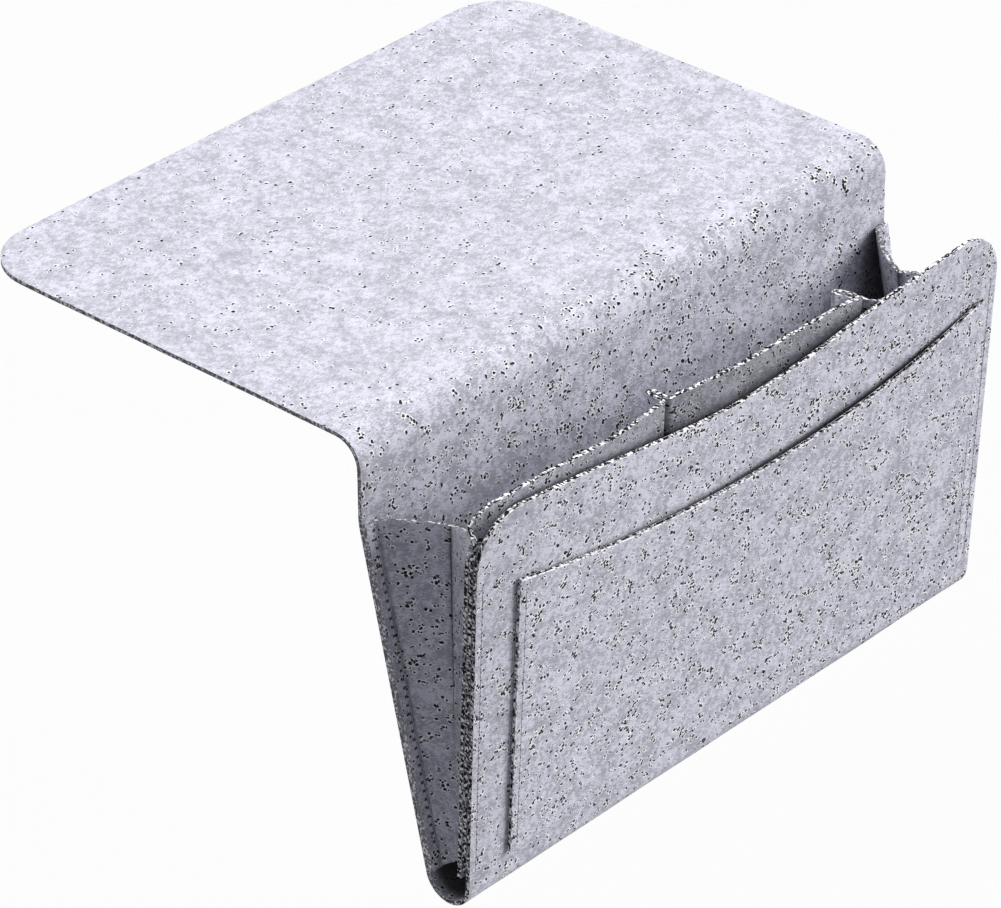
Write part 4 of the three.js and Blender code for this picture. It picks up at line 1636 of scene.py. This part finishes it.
    def build(self, shop: Workshop) -> bpy.types.Object:
        """Folds the pleats and sets the sheet behind the front.

        Args:
            shop: The finishes.

        Returns:
            The inner pockets' sheet.
        """
        s = SIZES
        x, share, fixed = self.across().T
        top = self.top(np.where(share > 0, np.where(x < 0, s.left_pleat, s.right_pleat), x))
        top = np.where(x > s.left_pleat + s.pull_reach, top + share * (s.inner_top - top), top)
        lean = (s.right_shift - s.right_lean * share) * np.exp(-(((x - s.right_pleat) / s.lean_reach) ** 2))
        free = (np.abs(x) < s.half - self.wave_margin) * (share == 0)
        corner_x = s.half - s.inner_corner
        narrow = smooth(np.abs(x), corner_x - self.narrow_reach, corner_x)
        middle, flat, shade = [], [], []
        for up in 1 - np.linspace(1, 0, self.rows) ** self.crowding:
            heights = s.inner_bottom + (top - s.inner_bottom) * up
            depth = np.array([float(self.even_depth(px, ph)) for px, ph in zip(x, heights)])
            pleat = s.pleat_depth * (s.pleat_foot + (1 - s.pleat_foot) * up)
            depth = depth + s.felt / 2 + share * pleat + fixed
            depth = depth + free * uneven(x, heights + self.wave_shift, self.waviness) * up
            placed_x = x - np.sign(x) * narrow * (s.half - s.half_at(heights)) + lean * up
            middle.append(s.on_front(placed_x, heights, depth))
            shade.append(self.shade(placed_x, heights, depth - s.felt / 2))
            steps = np.hypot(np.diff(placed_x), np.diff(depth))
            ways = np.concatenate([[0.0], np.cumsum(steps)])
            flat.append(np.stack([ways + self.pattern_shift, heights], -1))
        faces = np.stack([np.array(shade), np.zeros((self.rows, len(x)))])
        sheet = FeltSheet("inner_pocket_felt", np.array(flat), s.placed(np.array(middle)), shade=faces)
        piece = sheet.build(shop)
        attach(piece, Body.FRONT.value)
        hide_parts("inner_pocket")
        sheet.declare_folded()
        return piece


@dataclass(frozen=True)
class OuterPocket:
    """The flat pocket on the front, with square corners and a dipped mouth."""

    columns: int = 84
    rows: int = 42
    gape_lean: float = 1.6
    waviness: float = 0.12
    wave_shift: float = 40.0
    side_hold: float = 12.0
    foot_hold: float = 6.0
    pattern_shift: float = 2400.0

    def mouth(self, x: np.ndarray) -> np.ndarray:
        """Height of the pocket's mouth.

        Args:
            x: Places across in millimetres.

        Returns:
            Heights above the lowest line in millimetres.
        """
        s = SIZES
        middle = (s.pocket_left + s.pocket_right) / 2
        reach = (s.pocket_right - s.pocket_left) / 2
        return s.pocket_corner - s.pocket_dip * (1 - ((x - middle) / reach) ** 2)

    def share(self, x: np.ndarray) -> np.ndarray:
        """Share of the way from the pocket's left edge to its right one."""
        return (x - SIZES.pocket_left) / (SIZES.pocket_right - SIZES.pocket_left)

    def face_depth(self, x: np.ndarray, up: np.ndarray) -> np.ndarray:
        """Depth in millimetres of the pocket's middle behind the front's face, at shares of the way up."""
        gape = np.sin(np.clip(self.share(x), 0, 1) ** self.gape_lean * math.pi)
        return -(SIZES.layer_gap + SIZES.pocket_gape * gape * up**2 + SIZES.felt / 2)

    def build(self, shop: Workshop) -> bpy.types.Object:
        """Cuts the pocket and sets it on the front.

        Args:
            shop: The finishes.

        Returns:
            The outer pocket.
        """
        s = SIZES
        columns = np.linspace(s.pocket_left, s.pocket_right, self.columns)
        x, up = np.meshgrid(columns, np.linspace(0, 1, self.rows))
        heights = s.pocket_bottom + (self.mouth(x) - s.pocket_bottom) * up
        from_side = np.minimum(self.share(x), 1 - self.share(x))
        held = np.clip(np.minimum(from_side * self.side_hold, up * self.foot_hold), 0, 1)
        lift = held * (uneven(x + self.wave_shift, heights, self.waviness) + self.waviness)
        middle = s.on_front(x, heights, self.face_depth(x, up) - lift)
        flat = np.stack([x + self.pattern_shift, heights], -1)
        piece = FeltSheet("outer_pocket_felt", flat, s.placed(middle)).build(shop)
        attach(piece, Body.FRONT.value)
        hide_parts("outer_pocket")
        return piece


@dataclass
class Seam:
    """A run of lockstitches on one face of the felt, with a flat dark disc of painted shade for the needle
    hole between the stitches.

    Attributes:
        node: The thread that the run stands for.
        body: The body that it rides on.
        corners: Corners of the run in millimetres from the fold line.
        outward: Direction out of the felt.
        pitch: Length from needle hole to needle hole in millimetres.
        stitch_share: Share of the pitch that a stitch takes up.
        thread: The thread's width in millimetres.
        thread_flatness: The thread's thickness as a share of its width.
        thread_lift: How far the thread's middle lies above the felt, in millimetres.
        hole: A needle hole's length in millimetres.
        hole_narrowness: A needle hole's width as a share of its length.
        hole_depth: A needle hole's thickness in millimetres.
        hole_lift: How far its middle lies above the felt, in millimetres.
        bead_faces: Faces round a stitch or a hole.
        stitch_rings: Faces along a stitch.
        hole_rings: Faces along a hole.
    """

    node: str
    body: Body
    corners: np.ndarray
    outward: np.ndarray
    pitch: float = 3.8
    stitch_share: float = 0.84
    thread: float = 0.62
    thread_flatness: float = 0.75
    thread_lift: float = 0.035
    hole: float = 1.05
    hole_narrowness: float = 0.9
    hole_depth: float = 0.1
    hole_lift: float = 0.02
    bead_faces: int = 8
    stitch_rings: int = 6
    hole_rings: int = 4

    def stitch_places(self) -> list[tuple[np.ndarray, np.ndarray]]:
        """Start and end of each stitch.

        Returns:
            Pairs of points in millimetres.
        """
        places = []
        for first, last in zip(self.corners[:-1], self.corners[1:]):
            count = max(1, round(float(np.linalg.norm(last - first)) / self.pitch))
            marks = [first + (last - first) * k / count for k in range(count + 1)]
            places += list(zip(marks[:-1], marks[1:]))
        return places

    def model(self, name: str, rings: int, size: tuple[float, float, float]) -> bpy.types.Object:
        """A rounded bead of a given size at the origin, to be copied.

        Args:
            name: The bead's name.
            rings: Faces along it.
            size: Its size in millimetres.

        Returns:
            The bead.
        """
        deselect_all()
        bpy.ops.mesh.primitive_uv_sphere_add(
            segments=self.bead_faces, ring_count=rings, radius=0.5, rotation=(0, math.pi / 2, 0),
        )
        bead = bpy.context.object
        bead.name = name
        bpy.ops.object.transform_apply(location=True, rotation=True, scale=True)
        bpy.ops.object.mode_set(mode="EDIT")
        bpy.ops.mesh.select_all(action="SELECT")
        bpy.ops.transform.resize(value=tuple(v * MM for v in size))
        bpy.ops.object.mode_set(mode="OBJECT")
        bpy.ops.object.shade_smooth()
        return bead

    def frame_at(self, first: np.ndarray, last: np.ndarray) -> Matrix:
        """Axes and place of a stitch between two needle holes.

        Args:
            first: First hole in millimetres.
            last: Next hole in millimetres.

        Returns:
            The stitch's matrix in metres.
        """
        along = Vector(last - first).normalized()
        out = Vector(self.outward).normalized()
        matrix = Matrix((along, out.cross(along), out)).transposed().to_4x4()
        matrix.translation = Vector(SIZES.placed((first + last) / 2))
        return matrix

    def build(self, shop: Workshop) -> bpy.types.Object:
        """Sews the run.

        Args:
            shop: The finishes.

        Returns:
            The run of stitches.
        """
        places = self.stitch_places()
        length = float(np.linalg.norm(places[0][1] - places[0][0]))
        thread_size = (length * self.stitch_share, self.thread, self.thread * self.thread_flatness)
        hole_size = (self.hole, self.hole * self.hole_narrowness, self.hole_depth)
        stitch = self.model("stitch_bead", self.stitch_rings, thread_size)
        hole = self.model("hole_bead", self.hole_rings, hole_size)
        stitch.data.materials.append(shop.thread)
        hole.data.materials.append(shop.needle_hole_shade)
        copies = []
        for first, last in places:
            matrix = self.frame_at(first, last)
            copies.append(self.copy(stitch, matrix, Vector((0, 0, self.thread_lift * MM))))
            # A flat dark disc stands for the needle hole: painted shade, not a hole in the felt.
            copies.append(self.copy(hole, matrix, Vector((-length / 2 * MM, 0, self.hole_lift * MM))))
        make_active(copies[0])
        for piece in copies:
            piece.select_set(True)
        bpy.ops.object.join()
        run = bpy.context.object
        run.name = self.node.replace("_thread", "_stitches")
        run.data.name = run.name
        for model in (stitch, hole):
            bpy.data.objects.remove(model)
        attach(run, self.body.value)
        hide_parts(self.node)
        return run

    def copy(self, model: bpy.types.Object, matrix: Matrix, shift: Vector) -> bpy.types.Object:
        """A copy of a bead with its own mesh, moved to its place.

        Args:
            model: The bead to copy.
            matrix: Axes and place of the stitch.
            shift: Way from the stitch's middle, in its own axes.

        Returns:
            The copy.
        """
        copy = model.copy()
        copy.data = model.data.copy()
        copy.data.transform(matrix @ Matrix.Translation(shift))
        bpy.context.scene.collection.objects.link(copy)
        return copy


@dataclass(frozen=True)
class Sewing:
    """All runs of stitches on the caddy.

    Attributes:
        back_hole: Length of the needle holes inside the back seams, in millimetres.
        pocket_hole: Length of the needle holes round the outer pocket, in millimetres.
        hem_step: About how far apart the hem's bends lie, in millimetres.
    """

    back_hole: float = 1.8
    pocket_hole: float = 1.0
    hem_step: float = 15.0

    def runs(self) -> list[Seam]:
        """Lists the runs with their places, ready to build."""
        sides = [seam for side in Side for seam in self.side_runs(side)]
        return sides + self.pocket_runs() + self.hem_runs()

    def front_out(self) -> np.ndarray:
        """Direction out of the front's front face."""
        return np.array([0.0, -math.cos(SIZES.front_lean), -math.sin(SIZES.front_lean)])

    def back_out(self) -> np.ndarray:
        """Direction out of the back's front face."""
        return np.array([0.0, -math.cos(SIZES.back_lean), math.sin(SIZES.back_lean)])

    def side_runs(self, side: Side) -> list[Seam]:
        """The four runs of one side: outside and inside of the back seam and of the front seam.

        Args:
            side: The side.

        Returns:
            The runs.
        """
        s = SIZES
        heights = np.array([s.gusset_top - s.seam_inset, s.gusset_bottom + s.seam_inset])
        x = side.value * (s.half_at(heights) - s.seam_inset)
        back, front = self.back_out(), self.front_out()
        back_outer = s.on_back(x, heights, -s.felt)
        back_inner = s.on_back(x, heights, s.sewn_gap + s.felt)
        front_outer = s.on_front(x, heights, 0.0)
        front_inner = s.on_front(x, heights, s.flange_depth + s.felt)
        return [
            Seam(f"{side.word}_back_seam_outer_thread", Body.BACK, back_outer, -back),
            Seam(f"{side.word}_back_seam_inner_thread", Body.BACK, back_inner, back, hole=self.back_hole),
            Seam(f"{side.word}_front_seam_outer_thread", Body.FRONT, front_outer, front),
            Seam(f"{side.word}_front_seam_inner_thread", Body.FRONT, front_inner, -front),
        ]

    def pocket_runs(self) -> list[Seam]:
        """The runs that hold the outer pocket, on its face and behind the front.

        Returns:
            The runs.
        """
        s = SIZES
        left, right = s.pocket_left + s.seam_inset, s.pocket_right - s.seam_inset
        low, high = s.pocket_bottom + s.seam_inset, s.pocket_corner - s.seam_inset
        face = -(s.layer_gap + s.felt)
        round_it = s.on_front(np.array([left, left, right, right]), np.array([high, low, low, high]), face)
        runs = [Seam("pocket_seam_thread", Body.FRONT, round_it, self.front_out(), hole=self.pocket_hole)]
        for side, x in ((Side.LEFT, left), (Side.RIGHT, right)):
            line = s.on_front(x, np.array([high, s.pocket_bottom + 2 * s.seam_inset]), s.felt)
            runs.append(Seam(f"pocket_{side.word}_reverse_thread", Body.FRONT, line, -self.front_out()))
        return runs

    def hem_runs(self) -> list[Seam]:
        """The lower seam behind the inner sheet, between its pleats.

        Returns:
            The runs.
        """
        s = SIZES
        end = s.half - s.inner_flange - s.inner_ramp
        edge = s.pleat_loop / 2 + s.felt + s.layer_gap
        spans = {
            "hem_left_thread": (-end, s.left_pleat - edge),
            "hem_middle_thread": (s.left_pleat + edge, s.right_pleat - edge),
            "hem_right_thread": (s.right_pleat + edge, end),
        }
        height = s.pocket_bottom + s.seam_inset
        inner = InnerPockets()
        runs = []
        for node, span in spans.items():
            x = np.linspace(*span, max(2, round((span[1] - span[0]) / self.hem_step)))
            depth = inner.even_depth(x, height) + s.felt
            runs.append(Seam(node, Body.FRONT, s.on_front(x, height, depth), -self.front_out()))
        return runs

    def build(self, shop: Workshop) -> list[bpy.types.Object]:
        """Sews all runs and gives back their pieces."""
        return [seam.build(shop) for seam in self.runs()]


@dataclass(frozen=True)
class SoftLight:
    """A broad, soft, even light from one direction.

    Attributes:
        name: The light's name.
        towards: Direction to the light.
        spread: How wide it looks from the caddy, in degrees.
        power: Its strength.
        reach: How far off it hangs, in metres.
    """

    name: str
    towards: tuple[float, float, float]
    spread: float
    power: float
    reach: float = 3.0

    def hang(self) -> None:
        """Hangs the light."""
        data = bpy.data.lights.new(self.name, "SUN")
        data.angle = math.radians(self.spread)
        data.energy = self.power
        lamp = bpy.data.objects.new(self.name, data)
        lamp.location = Vector(self.towards).normalized() * self.reach
        lamp.rotation_euler = Vector(self.towards).to_track_quat("Z", "Y").to_euler()
        bpy.context.scene.collection.objects.link(lamp)


@dataclass(frozen=True)
class Studio:
    """Floor, soft light and the camera at the photograph's viewing angle.

    Attributes:
        azimuth: Turn of the camera round the caddy, in radians.
        elevation: Its angle above level, in radians.
        roll: Its roll, in radians.
        focal: Its focal length in pixels.
        image_width: Width of its picture in pixels.
        aside: Its place along the picture's width, in millimetres from the fold line.
        above: Its place along the picture's height, in millimetres.
        distance: Its distance in millimetres.
        sensor: Width of its sensor in millimetres.
        clip_end: How far it sees, in metres.
        floor_drop: How far below the caddy the floor lies, in metres.
        floor_size: The floor's width in metres.
        room: Colour of the room's even light.
        ambient: Strength of the room's even light.
        lights: The soft lights.
    """

    azimuth: float = math.radians(47.2808)
    elevation: float = math.radians(31.6833)
    roll: float = math.radians(-0.5963)
    focal: float = 5582.73
    image_width: float = 1001.0
    aside: float = -53.968
    above: float = -66.963
    distance: float = 2241.49
    sensor: float = 36.0
    clip_end: float = 100.0
    floor_drop: float = 0.5
    floor_size: float = 40.0
    room: Colour = (0.985, 0.985, 1.07, 1.0)
    ambient: float = 0.306
    lights: tuple[SoftLight, ...] = (
        SoftLight("overhead_light", (0.4, 0.75, 1.0), 45.0, 2.99),
        SoftLight("front_light", (1.1, -1.0, 0.55), 40.0, 3.37),
    )

    def set_camera(self) -> None:
        """Places the camera as it stood for the photograph."""
        az, el = self.azimuth, self.elevation
        back = Vector((-math.sin(az) * math.cos(el), -math.cos(az) * math.cos(el), math.sin(el)))
        level = Vector((math.cos(az), -math.sin(az), 0.0))
        upright = back.cross(level)
        right = math.cos(self.roll) * level + math.sin(self.roll) * upright
        up = -math.sin(self.roll) * level + math.cos(self.roll) * upright
        eye = right * self.aside + up * self.above + back * self.distance
        data = bpy.data.cameras.new("photo_camera")
        data.sensor_width = self.sensor
        data.lens = self.focal / self.image_width * self.sensor
        data.clip_end = self.clip_end
        camera = bpy.data.objects.new("photo_camera", data)
        matrix = Matrix((right, up, back)).transposed().to_4x4()
        matrix.translation = Vector(SIZES.placed(np.array(eye)))
        camera.matrix_world = matrix
        bpy.context.scene.collection.objects.link(camera)
        bpy.context.scene.camera = camera

    def light(self) -> None:
        """Sets the even light of the room and hangs the soft lights."""
        scene = bpy.context.scene
        scene.view_settings.view_transform = "Standard"
        scene.world = bpy.data.worlds.new("studio")
        scene.world.use_nodes = True
        background = scene.world.node_tree.nodes["Background"]
        background.inputs["Color"].default_value = self.room
        background.inputs["Strength"].default_value = self.ambient
        for lamp in self.lights:
            lamp.hang()

    def lay_floor(self, shop: Workshop) -> None:
        """Lays the pale floor well below the hanging caddy; it throws no light back up.

        Args:
            shop: The finishes.
        """
        lowest = (SIZES.felt - SIZES.total_height) * MM
        deselect_all()
        bpy.ops.mesh.primitive_plane_add(size=self.floor_size, location=(0, 0, 0))
        floor = bpy.context.object
        floor.name = "floor"
        floor.data.transform(Matrix.Translation((0, 0, lowest - self.floor_drop)))
        floor.data.materials.append(shop.floor)
        floor.visible_diffuse = False


def write_sizes() -> None:
    """Updates the scene's view layer.
    """
    bpy.context.view_layer.update()


def main() -> None:
    """Builds the studio, then the caddy's pieces in order, and reports each piece."""
    logging.basicConfig(level=logging.INFO, format="%(name)s: %(message)s")
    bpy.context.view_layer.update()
    shop = Workshop.open()
    studio = Studio()
    studio.set_camera()
    studio.light()
    studio.lay_floor(shop)
    pieces = [
        *MainSheet().build(shop),
        Gusset(Side.LEFT, SIZES.left_fold, SIZES.left_crease, SIZES.left_rise).build(shop),
        Gusset(Side.RIGHT, SIZES.right_fold, SIZES.right_crease, 0.0).build(shop),
        InnerPockets().build(shop),
        OuterPocket().build(shop),
        *Sewing().build(shop),
    ]
    for piece in pieces:
        log.info("%s, %d faces", piece.name, len(piece.data.polygons))
    write_sizes()


if __name__ == "__main__":
    main()
